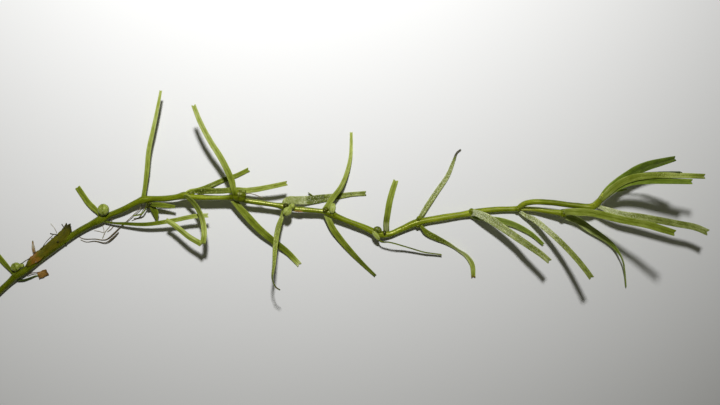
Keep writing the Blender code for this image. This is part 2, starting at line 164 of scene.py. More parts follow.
def growPiece(name, source, tree, inputs):
    # runs the tree on the source object and keeps a plain closed mesh with its faces turned outwards
    bpy.context.scene.collection.objects.link(source)
    modifier = source.modifiers.new("grow", "NODES")
    modifier.node_group = tree
    for item in tree.interface.items_tree:
        if item.item_type == "SOCKET" and item.in_out == "INPUT" and item.name in inputs:
            modifier[item.identifier] = inputs[item.name]
    graph = bpy.context.evaluated_depsgraph_get()
    mesh = bpy.data.meshes.new_from_object(
        source.evaluated_get(graph), preserve_all_data_layers=True, depsgraph=graph)
    mesh.name = name
    bpy.data.objects.remove(source)
    shell = bmesh.new()
    shell.from_mesh(mesh)
    bmesh.ops.recalc_face_normals(shell, faces=shell.faces)
    shell.to_mesh(mesh)
    shell.free()
    obj = bpy.data.objects.new(name, mesh)
    bpy.context.scene.collection.objects.link(obj)
    return obj


def settle(obj, slotName, *nodes):
    # every piece rides on the one body; nodes are the solids that it stands for
    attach(obj, "root")
    if nodes:
        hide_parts(*nodes)


treeDetail = {"paperGap": 0.004 * mm, "mergeWithin": 0.0003 * mm, "seedStep": 5.1, "leafSeedStep": 7.3}


def newTree(name, sockets):
    # an empty Geometry Nodes tree with named inputs, each with its type and value
    tree = bpy.data.node_groups.new(name, "GeometryNodeTree")
    tree.interface.new_socket("Geometry", in_out="OUTPUT", socket_type="NodeSocketGeometry")
    for label, kind, value in [("Geometry", "Geometry", None), *sockets,
                               ("Seed", "Int", 1), ("Material", "Material", None)]:
        socket = tree.interface.new_socket(label, in_out="INPUT", socket_type="NodeSocket" + kind)
        if value is not None:
            socket.default_value = value
    return tree, addNode(tree, "NodeGroupInput").outputs


def endTree(tree, geometry, material):
    # nothing reaches under the paper; then seams are closed and the skin is put on
    add = partial(addNode, tree)
    here = add("GeometryNodeInputPosition")
    above = add(vectors, "MAXIMUM", [here, (-1.0, -1.0, treeDetail["paperGap"])])
    lying = add(setPosition, None, {"Geometry": geometry, "Position": above})
    closed = add("GeometryNodeMergeByDistance", None,
                 {"Geometry": lying, "Distance": treeDetail["mergeWithin"]})
    smooth = add("GeometryNodeSetShadeSmooth", None, {"Geometry": closed})
    bare = add("GeometryNodeRemoveAttribute", {"pattern_mode": "WILDCARD"},
               {"Geometry": smooth, "Name": "path*"})
    real = add("GeometryNodeRealizeInstances", None, {"Geometry": bare})
    skinned = add("GeometryNodeSetMaterial", None, {"Geometry": real, "Material": material})
    add("NodeGroupOutput", None, [skinned])


def sweepProfile(tree, given, profile, shares, floats):
    # sweeps a profile that keeps its own shares along the path, and reads what both of them carry
    add = partial(addNode, tree)
    for name, share in shares.items():
        profile = add(store, {"data_type": "FLOAT"}, {"Geometry": profile, "Name": name, "Value": share})
    path = add("GeometryNodeMeshToCurve", None, [given["Geometry"]])
    swept = add("GeometryNodeCurveToMesh", None, {"Curve": path, "Profile Curve": profile})
    kinds = {"FLOAT": (*shares, *floats), "FLOAT_VECTOR": ("pathMiddle", "pathAlong", "pathSide", "pathUp")}
    read = {name: add("GeometryNodeInputNamedAttribute", {"data_type": kind}, {"Name": name})
            for kind, names in kinds.items() for name in names}
    return swept, read


# The leaf tree lays a thin blade along a path: notched tip, shallow groove, midrib underneath

bladeShape = {
    "columns": 17, "slowWaves": 0.5, "quickWaves": 2.4, "fullTear": 0.35, "notchPower": 1.4,
    "cornerPower": 5.0, "ribFall": -3.5}


def buildLeafTree():
    tree, given = newTree("leafBlade", [
        ("Columns", "Int", bladeShape["columns"]), ("Thickness", "Float", 0.07 * mm),
        ("Groove", "Float", 0.06 * mm), ("Midrib", "Float", 0.03 * mm), ("Notch", "Float", 0.3),
        ("Corner", "Float", 0.1), ("Ripple", "Float", 0.06 * mm), ("Ragged", "Float", 0.06)])
    add = partial(addNode, tree)

    # the profile runs from edge to edge; across is the sine and lens the cosine of the same turn,
    # so the upper and the under side meet in a round edge
    line = add("GeometryNodeCurvePrimitiveLine", None, {"Start": (-1.0, 0.0, 0.0), "End": (1.0, 0.0, 0.0)})
    profile = add("GeometryNodeResampleCurve", None, {"Curve": line, "Count": given["Columns"]})
    here = add("ShaderNodeSeparateXYZ", None, [add("GeometryNodeInputPosition")])
    turn = add(maths, "MULTIPLY", [here, math.pi / 2])
    shares = {"across": add(maths, "SINE", [turn]), "pathLens": add(maths, "COSINE", [turn])}
    sheet, read = sweepProfile(tree, given, profile, shares, (
        "pathHalfWidth", "pathThick", "pathPull", "pathOpen", "rowLength"))
    edge = add(maths, "ABSOLUTE", [read["across"]])

    # slow waves bend the blade's edges, quick ones nibble at its outline
    shift = add(maths, "MULTIPLY", [given["Seed"], treeDetail["leafSeedStep"]])
    spot = add("ShaderNodeCombineXYZ", None, [read["across"], read["rowLength"], shift])
    slow = add(noise, None, {"Vector": spot, "Scale": bladeShape["slowWaves"], "Detail": 2.0})
    quick = add(noise, None, {"Vector": spot, "Scale": bladeShape["quickWaves"], "Detail": 3.0})
    wave = add(maths, "SUBTRACT", [slow, 0.5])
    tear = add(maths, "SUBTRACT", [quick, bladeShape["fullTear"]])
    bitten = add(maths, "MULTIPLY", [tear, given["Ragged"]])
    whole = add(maths, "SUBTRACT", [1.0, bitten])
    fromRib = add(maths, "MULTIPLY", [read["across"], read["pathHalfWidth"]])
    reach = add(maths, "MULTIPLY", [fromRib, whole])

    # the tip is pulled back most at the midrib, and a little at its corners
    fromEdge = add(maths, "SUBTRACT", [1.0, edge])
    notchShape = add(maths, "POWER", [fromEdge, bladeShape["notchPower"]])
    cornerShape = add(maths, "POWER", [edge, bladeShape["cornerPower"]])
    corner = add(maths, "MULTIPLY", [cornerShape, given["Corner"]])
    tipShape = add(maths, "MULTIPLY_ADD", [notchShape, given["Notch"], corner])
    back = add(maths, "MULTIPLY", [tipShape, read["pathPull"]])
    backwards = add(maths, "MULTIPLY", [back, -1.0])

    # heights over and under the middle sheet
    grooveShape = add(maths, "SUBTRACT", [edge, 0.5])
    grooveLift = add(maths, "MULTIPLY", [grooveShape, given["Groove"]])
    rippleShape = add(maths, "MULTIPLY_ADD", [edge, wave, wave])
    ripple = add(maths, "MULTIPLY_ADD", [rippleShape, given["Ripple"], grooveLift])
    lift = add(maths, "MULTIPLY", [ripple, read["pathOpen"]])
    thickHere = add(maths, "MULTIPLY", [given["Thickness"], read["pathThick"]])
    over = add(maths, "MULTIPLY_ADD", [read["pathLens"], thickHere, lift])
    under = add(maths, "MULTIPLY", [read["pathLens"], thickHere])
    ribShare = add(maths, "MULTIPLY_ADD", [edge, bladeShape["ribFall"], 1.0])
    ribShape = add(maths, "MAXIMUM", [ribShare, 0.0])
    ribHere = add(maths, "MULTIPLY", [given["Midrib"], read["pathThick"]])
    underRib = add(maths, "MULTIPLY_ADD", [ribShape, ribHere, under])
    below = add(maths, "SUBTRACT", [lift, underRib])

    outwards = add(vectors, "MULTIPLY_ADD", [read["pathSide"], reach, read["pathMiddle"]])
    blade = add(vectors, "MULTIPLY_ADD", [read["pathAlong"], backwards, outwards])
    fromRibMm = add(maths, "DIVIDE", [reach, mm])
    skinMap = add("ShaderNodeCombineXYZ", None, [fromRibMm, shift, read["rowLength"]])
    sheet = add(store, {"data_type": "FLOAT_VECTOR"},
                {"Geometry": sheet, "Name": "skinMap", "Value": skinMap})
    sides = []
    for height in (over, below):
        place = add(vectors, "MULTIPLY_ADD", [read["pathUp"], height, blade])
        sides.append(add(setPosition, None, {"Geometry": sheet, "Position": place}))
    both = add("GeometryNodeJoinGeometry", None, [sides[0]])
    tree.links.new(sides[1].outputs[0], both.inputs[0])
    endTree(tree, both, given["Material"])
    return tree


# The rod tree makes stems and roots: a round section with soft lengthwise ridges and closed ends

rodWaves = {"Ridge": ((1, 1, 0.06), 1.7), "Knobs": ((0.4, 0.4, 1), 2.0)}  # stretch and scale


def buildRodTree():
    tree, given = newTree("ridgedRod", [
        ("Sides", "Int", 20), ("Ridge", "Float", 0.05), ("Knobs", "Float", 0.0)])
    add = partial(addNode, tree)
    ring = add("GeometryNodeCurvePrimitiveCircle", None, {"Resolution": given["Sides"], "Radius": 1.0})
    here = add("ShaderNodeSeparateXYZ", None, [add("GeometryNodeInputPosition")]).outputs
    shares = {"pathRingSide": here[0], "pathRingUp": here[1]}
    tube, read = sweepProfile(tree, given, ring, shares, ("pathRadius", "rowLength"))

    # ridges run along the rod, knobs swell it here and there
    shift = add(maths, "MULTIPLY_ADD", [given["Seed"], treeDetail["seedStep"], read["rowLength"]])
    spot = add("ShaderNodeCombineXYZ", None, [read["pathRingSide"], read["pathRingUp"], shift])
    bumps = 1.0
    for depth, (stretch, scale) in rodWaves.items():
        stretched = add(vectors, "MULTIPLY", [spot, stretch])
        waves = add(noise, None, {"Vector": stretched, "Scale": scale, "Detail": 2.0})
        swing = add(maths, "MULTIPLY_ADD", [waves, 2.0, -1.0])
        bumps = add(maths, "MULTIPLY_ADD", [swing, given[depth], bumps])
    radius = add(maths, "MULTIPLY", [read["pathRadius"], bumps])
    sideways = add(maths, "MULTIPLY", [read["pathRingSide"], radius])
    upwards = add(maths, "MULTIPLY", [read["pathRingUp"], radius])
    place = add(vectors, "MULTIPLY_ADD", [read["pathSide"], sideways, read["pathMiddle"]])
    place = add(vectors, "MULTIPLY_ADD", [read["pathUp"], upwards, place])
    inMm = [add(maths, "DIVIDE", [reach, mm]) for reach in (sideways, upwards)]
    skinMap = add("ShaderNodeCombineXYZ", None, [*inMm, shift])
    tube = add(store, {"data_type": "FLOAT_VECTOR"},
               {"Geometry": tube, "Name": "skinMap", "Value": skinMap})
    tube = add(setPosition, None, {"Geometry": tube, "Position": place})
    endTree(tree, tube, given["Material"])
    return tree


# The fruit tree pinches a ball by two crossed creases into four nutlets with a keel on each

nutletShape = {"segments": 64, "rings": 32, "creaseSharpness": 8.0, "keelSharpness": 7.0}


def buildFruitTree():
    tree, given = newTree("nutletFruit", [
        ("Segments", "Int", nutletShape["segments"]), ("Rings", "Int", nutletShape["rings"]),
        ("Crease", "Float", 0.16), ("Keel", "Float", 0.03),
        ("Half Sizes", "Vector", (0.5 * mm, 0.4 * mm, 0.4 * mm)), ("Turn", "Vector", None),
        ("Middle", "Vector", None)])
    add = partial(addNode, tree)
    ball = add("GeometryNodeMeshUVSphere", None,
               {"Segments": given["Segments"], "Rings": given["Rings"], "Radius": 1.0})
    here = add("GeometryNodeInputPosition")
    fromMiddle = add(vectors, "ABSOLUTE", [here])
    sides = add("ShaderNodeSeparateXYZ", None, [fromMiddle]).outputs
    nearest = add(maths, "MINIMUM", [sides[0], sides[1]])
    between = add(maths, "SUBTRACT", [sides[0], sides[1]])
    shares = []
    for distance, sharpness in ((nearest, "creaseSharpness"), (between, "keelSharpness")):
        scaled = add(maths, "MULTIPLY", [distance, nutletShape[sharpness]])
        square = add(maths, "POWER", [scaled, 2.0])
        fall = add(maths, "ADD", [square, 1.0])
        shares.append(add(maths, "DIVIDE", [1.0, fall]))
    deep = add(maths, "MULTIPLY", [shares[0], given["Crease"]])
    high = add(maths, "MULTIPLY", [shares[1], given["Keel"]])
    change = add(maths, "SUBTRACT", [high, deep])
    factor = add(maths, "ADD", [change, 1.0])
    pinched = add(vectors, "SCALE", {"Vector": here, "Scale": factor})
    sized = add(vectors, "MULTIPLY", [pinched, given["Half Sizes"]])
    shift = add(maths, "MULTIPLY", [given["Seed"], treeDetail["seedStep"]])
    apart = add("ShaderNodeCombineXYZ", None, [0.0, 0.0, shift])
    skinMap = add(vectors, "MULTIPLY_ADD", [sized, (1 / mm, 1 / mm, 1 / mm), apart])
    for name, kind, value in (("crease", "FLOAT", shares[0]), ("skinMap", "FLOAT_VECTOR", skinMap)):
        ball = add(store, {"data_type": kind}, {"Geometry": ball, "Name": name, "Value": value})
    ball = add(setPosition, None, {"Geometry": ball, "Position": sized})
    placed = add("GeometryNodeTransform", None,
                 {"Geometry": ball, "Translation": given["Middle"], "Rotation": given["Turn"]})
    endTree(tree, placed, given["Material"])
    return tree


leafTree, rodTree, fruitTree = buildLeafTree(), buildRodTree(), buildFruitTree()
print("trees built")


# Skins: colour and gloss follow what the trees leave on each piece, and skinMap gives millimetres.
# cells: width and length of a cell, patch: size of a patch, all in mm; ramp: five evenly spaced colours

# glint: the pale colour of each skin's painted highlight
skins = {
    # Living submerged leaf: thin wet cells in lengthwise rows, soft gloss from the water left on it, a few
    # points of painted highlight
    "wetLeafSkin": {
        "slot": "leaf_green", "ramp": ("#2f3905", "#505c0d", "#738021", "#9ba74e", "#c4cb90"),
        "cells": (0.07, 0.9), "cellContrast": 0.3, "patch": 1.3, "patchContrast": 0.15, "ribTone": -0.06,
        "edgeTone": 0.1, "withered": "#6b4f1a", "paintedHighlight": "#b9c270", "roughness": 0.45, "coat": 0.04,
        "bump": 0.012, "subsurface": 0.12},
    # Leaf with a film of water over its upper cells: pale, with many small points of painted highlight
    "glisteningLeafSkin": {
        "slot": "pale_leaf", "ramp": ("#30390b", "#515c18", "#747f34", "#9ba364", "#c2c69b"),
        "cells": (0.09, 0.35), "cellContrast": 0.35, "patch": 0.9, "patchContrast": 0.35, "ribTone": -0.05,
        "edgeTone": 0.05, "withered": "#4b4640", "paintedHighlight": "#cdd2ae", "roughness": 0.42, "coat": 0.08,
        "bump": 0.02, "subsurface": 0.12},
    # Leaf turned away from the light: deep green, with fewer points of painted highlight
    "shadedLeafSkin": {
        "slot": "dark_leaf", "ramp": ("#2a390a", "#485b0f", "#6e8422", "#96a946", "#c2cd83"),
        "cells": (0.07, 0.8), "cellContrast": 0.3, "patch": 1.1, "patchContrast": 0.15, "ribTone": -0.04,
        "edgeTone": 0.14, "withered": "#5a4316", "paintedHighlight": "#a2ab6a", "roughness": 0.5, "coat": 0.03,
        "bump": 0.012, "subsurface": 0.1},
    # Soft watery stem: long air channels show through a smooth moist surface, with a painted highlight
    # along its upper side
    "moistStemSkin": {
        "slot": "stem_green", "ramp": ("#2e3102", "#4c5402", "#6f7c0c", "#98a229", "#c9ce71"),
        "cells": (0.12, 2.2), "cellContrast": 0.3, "patch": 1.6, "patchContrast": 0.15,
        "withered": "#6a4a18", "paintedHighlight": "#e2e67e", "roughness": 0.4, "coat": 0.04, "paintedHighlightLine": (-0.12, 0.15),
        "bump": 0.008, "subsurface": 0.5, "depth": 0.4},
    # Small unripe fruit: waxy pale green nutlets, with painted shade darkening the creases between them
    "waxyFruitSkin": {
        "slot": "fruit_green", "ramp": ("#444d0c", "#69751c", "#8e9a42", "#abb566", "#c6cd90"),
        "cells": (0.1, 0.12), "cellContrast": 0.1, "patch": 0.5, "patchContrast": 0.2,
        "withered": "#7a5a22", "paintedHighlight": "#ccd29c", "roughness": 0.45, "coat": 0.15, "bump": 0.004,
        "subsurface": 0.35, "depth": 0.4},
    # Withered leaf, collapsed and wet: brown to dark olive, torn at the edges
    "witheredLeafSkin": {
        "slot": "withered_brown", "ramp": ("#262406", "#444205", "#5d5a0c", "#84591a", "#a39a84"),
        "cells": (0.1, 0.6), "cellContrast": 0.25, "patch": 0.7, "patchContrast": 0.25, "ribTone": -0.05,
        "edgeTone": 0.02, "withered": "#3a2c0c", "paintedHighlight": "#b9ae7a", "roughness": 0.55, "coat": 0.03,
        "bump": 0.03, "subsurface": 0.05},
    # Dry scrap of dead leaf: matt brown with darker fibres
    "dryFlakeSkin": {
        "slot": "flake_brown", "ramp": ("#35240a", "#5d4218", "#7d5b28", "#97713a", "#b39362"),
        "cells": (0.08, 0.5), "cellContrast": 0.5, "patch": 0.4, "patchContrast": 0.4,
        "withered": "#4a3210", "paintedHighlight": "#d8c08a", "roughness": 0.65, "coat": 0, "bump": 0.03,
        "subsurface": 0.05},
    # Hair-thin root: half clear, brownish, with specks of mud
    "muddyRootSkin": {
        "slot": "root_brown", "ramp": ("#2c2414", "#4c4026", "#6a5c42", "#8b8068", "#b9b4a4"),
        "cells": (0.06, 0.3), "cellContrast": 0.5, "patch": 0.8, "patchContrast": 0.6,
        "withered": "#4a3322", "paintedHighlight": "#e0d6c8", "roughness": 0.5, "coat": 0.1, "bump": 0.01,
        "subsurface": 0.1},
}

skinDetail = {
    "ribWidth": 0.3, "edgePower": 6.0, "paintedCreaseShade": -0.3, "spotScale": 4.0, "spotShare": 0.8,
    "dying": (0.68, 0.95), "pointScale": 8.0, "highlightRange": (0.72, 0.86), "highlightWeight": 0.36,
    "paintedLineWeights": (0.46, 0.1), "paintedHighlightShare": 0.8, "wetGloss": 0.55, "relief": 0.6, "ior": 1.36,
    "gloss": "#f2f2a8", "coatRoughness": 0.3, "scatter": (0.5, 0.7, 0.2), "depth": 0.25}


def buildSkin(name, look):
    material = bpy.data.materials.new(name)
    material.use_nodes = True
    tree = material.node_tree
    tree.nodes.clear()
    add = partial(addNode, tree)
    read = {key: add("ShaderNodeAttribute", {"attribute_name": key}).outputs
            for key in ("skinMap", "tone", "speckle", "brown", "across", "crease")}
    place = read["skinMap"]["Vector"]
    soft = {"interpolation_type": "SMOOTHSTEP"}

    # rows of cells along the piece, and broad patches over it, make it darker or paler
    cellWidth, cellLength = look["cells"]
    cellPlace = add(vectors, "MULTIPLY", [place, (1 / cellWidth, 1 / cellWidth, 1 / cellLength)])
    cells = add(noise, None, {"Vector": cellPlace, "Scale": 1.0, "Detail": 2.0})
    patches = add(noise, None, {"Vector": place, "Scale": 1 / look["patch"], "Detail": 3.0})
    tone = read["tone"]["Fac"]
    for pattern, contrast in ((cells, look["cellContrast"]), (patches, look["patchContrast"])):
        swing = add(maths, "SUBTRACT", [pattern, 0.5])
        tone = add(maths, "MULTIPLY_ADD", [swing, contrast * 2, tone])
    if "ribTone" in look:
        edge = add(maths, "ABSOLUTE", [read["across"]["Fac"]])
        nearRib = add(mapRange, soft, {"Value": edge, "From Min": skinDetail["ribWidth"], "From Max": 0.0})
        nearEdge = add(maths, "POWER", [edge, skinDetail["edgePower"]])
        tone = add(maths, "MULTIPLY_ADD", [nearRib, look["ribTone"] * 2, tone])
        tone = add(maths, "MULTIPLY_ADD", [nearEdge, look["edgeTone"] * 2, tone])
    # painted shade: the creases between the nutlets are darkened
    tone = add(maths, "MULTIPLY_ADD", [read["crease"]["Fac"], skinDetail["paintedCreaseShade"], tone])
    colour = add("ShaderNodeValToRGB", {"stops": look["ramp"]}, [tone]).outputs[0]

    # withered spots and the pale points of painted highlight have ragged outlines
    spots = add(noise, None, {"Vector": place, "Scale": skinDetail["spotScale"], "Detail": 3.0})
    points = add(noise, None, {"Vector": place, "Scale": skinDetail["pointScale"], "Detail": 2.0})
    dying = add(maths, "MULTIPLY_ADD", [spots, skinDetail["spotShare"], read["brown"]["Fac"]])
    dyingFrom, dyingTo = skinDetail["dying"]
    dead = add(mapRange, soft, {"Value": dying, "From Min": dyingFrom, "From Max": dyingTo})
    highlightWeight = skinDetail["highlightWeight"]
    if "paintedHighlightLine" in look:  # the stem's painted highlight lies along one line of its upper side, toward the lamp
        middle, halfWidth = look["paintedHighlightLine"]
        onLineWeight, offLineWeight = skinDetail["paintedLineWeights"]
        sideways = add("ShaderNodeSeparateXYZ", None, [place]).outputs[0]
        off = add(maths, "SUBTRACT", [sideways, middle])
        off = add(maths, "ABSOLUTE", [off])
        highlightWeight = add(mapRange, soft,
                      {"Value": off, "From Max": halfWidth, "To Min": onLineWeight, "To Max": offLineWeight})
    highlightLevel = add(maths, "MULTIPLY_ADD", [read["speckle"]["Fac"], highlightWeight, points])
    highlightFrom, highlightTo = skinDetail["highlightRange"]
    paintedHighlight = add(mapRange, soft, {
        "Value": highlightLevel, "From Min": highlightFrom, "From Max": highlightTo, "To Max": skinDetail["paintedHighlightShare"]})
    # the withered colour, then the painted highlight: a pale colour mixed into the base colour, whose mask
    # also lowers the roughness
    for share, code in ((dead, look["withered"]), (paintedHighlight, look["paintedHighlight"])):
        colour = add("ShaderNodeMix", {"data_type": "RGBA"},
                     {0: share, 6: colour, 7: linearColour(code)}).outputs[2]
    relief = add(maths, "MULTIPLY_ADD", [points, skinDetail["relief"], cells])
    bump = add("ShaderNodeBump", None, {"Strength": 1.0, "Distance": look["bump"] * mm, "Height": relief})
    shine = add(mapRange, None, {
        "Value": paintedHighlight, "To Min": look["roughness"], "To Max": look["roughness"] * skinDetail["wetGloss"]})
    shader = add("ShaderNodeBsdfPrincipled", None, {
        "Base Color": colour, "Roughness": shine, "Normal": bump, "IOR": skinDetail["ior"],
        "Specular Tint": linearColour(skinDetail["gloss"]),
        "Coat Weight": look["coat"], "Coat Roughness": skinDetail["coatRoughness"],
        "Subsurface Weight": look["subsurface"], "Subsurface Radius": skinDetail["scatter"],
        "Subsurface Scale": look.get("depth", skinDetail["depth"]) * mm})
    add("ShaderNodeOutputMaterial", None, {"Surface": shader})
    return material


materials = {look["slot"]: buildSkin(name, look) for name, look in skins.items()}
# Young tissue in the angles of the leaves: as the stem, but smooth and without air channels
materials["bud"] = buildSkin("softBudSkin", {
    **skins["moistStemSkin"], "cells": (0.6, 0.6), "cellContrast": 0.12, "patch": 0.5,
    "patchContrast": 0.15, "bump": 0.003})
print("skins built:", len(materials))


# Stems, roots and fine strands: x, y, height and radius along the middle in mm. Tone, the points of
# painted highlight and brown are one value for the whole rod, or values at places along x. A strand
# without a node has no solid of its own

plainRod = {"node": "", "slot": "root_brown", "sides": 8, "ridge": 0.1, "knobs": 0.2,
            "speckle": 0, "brown": 0}

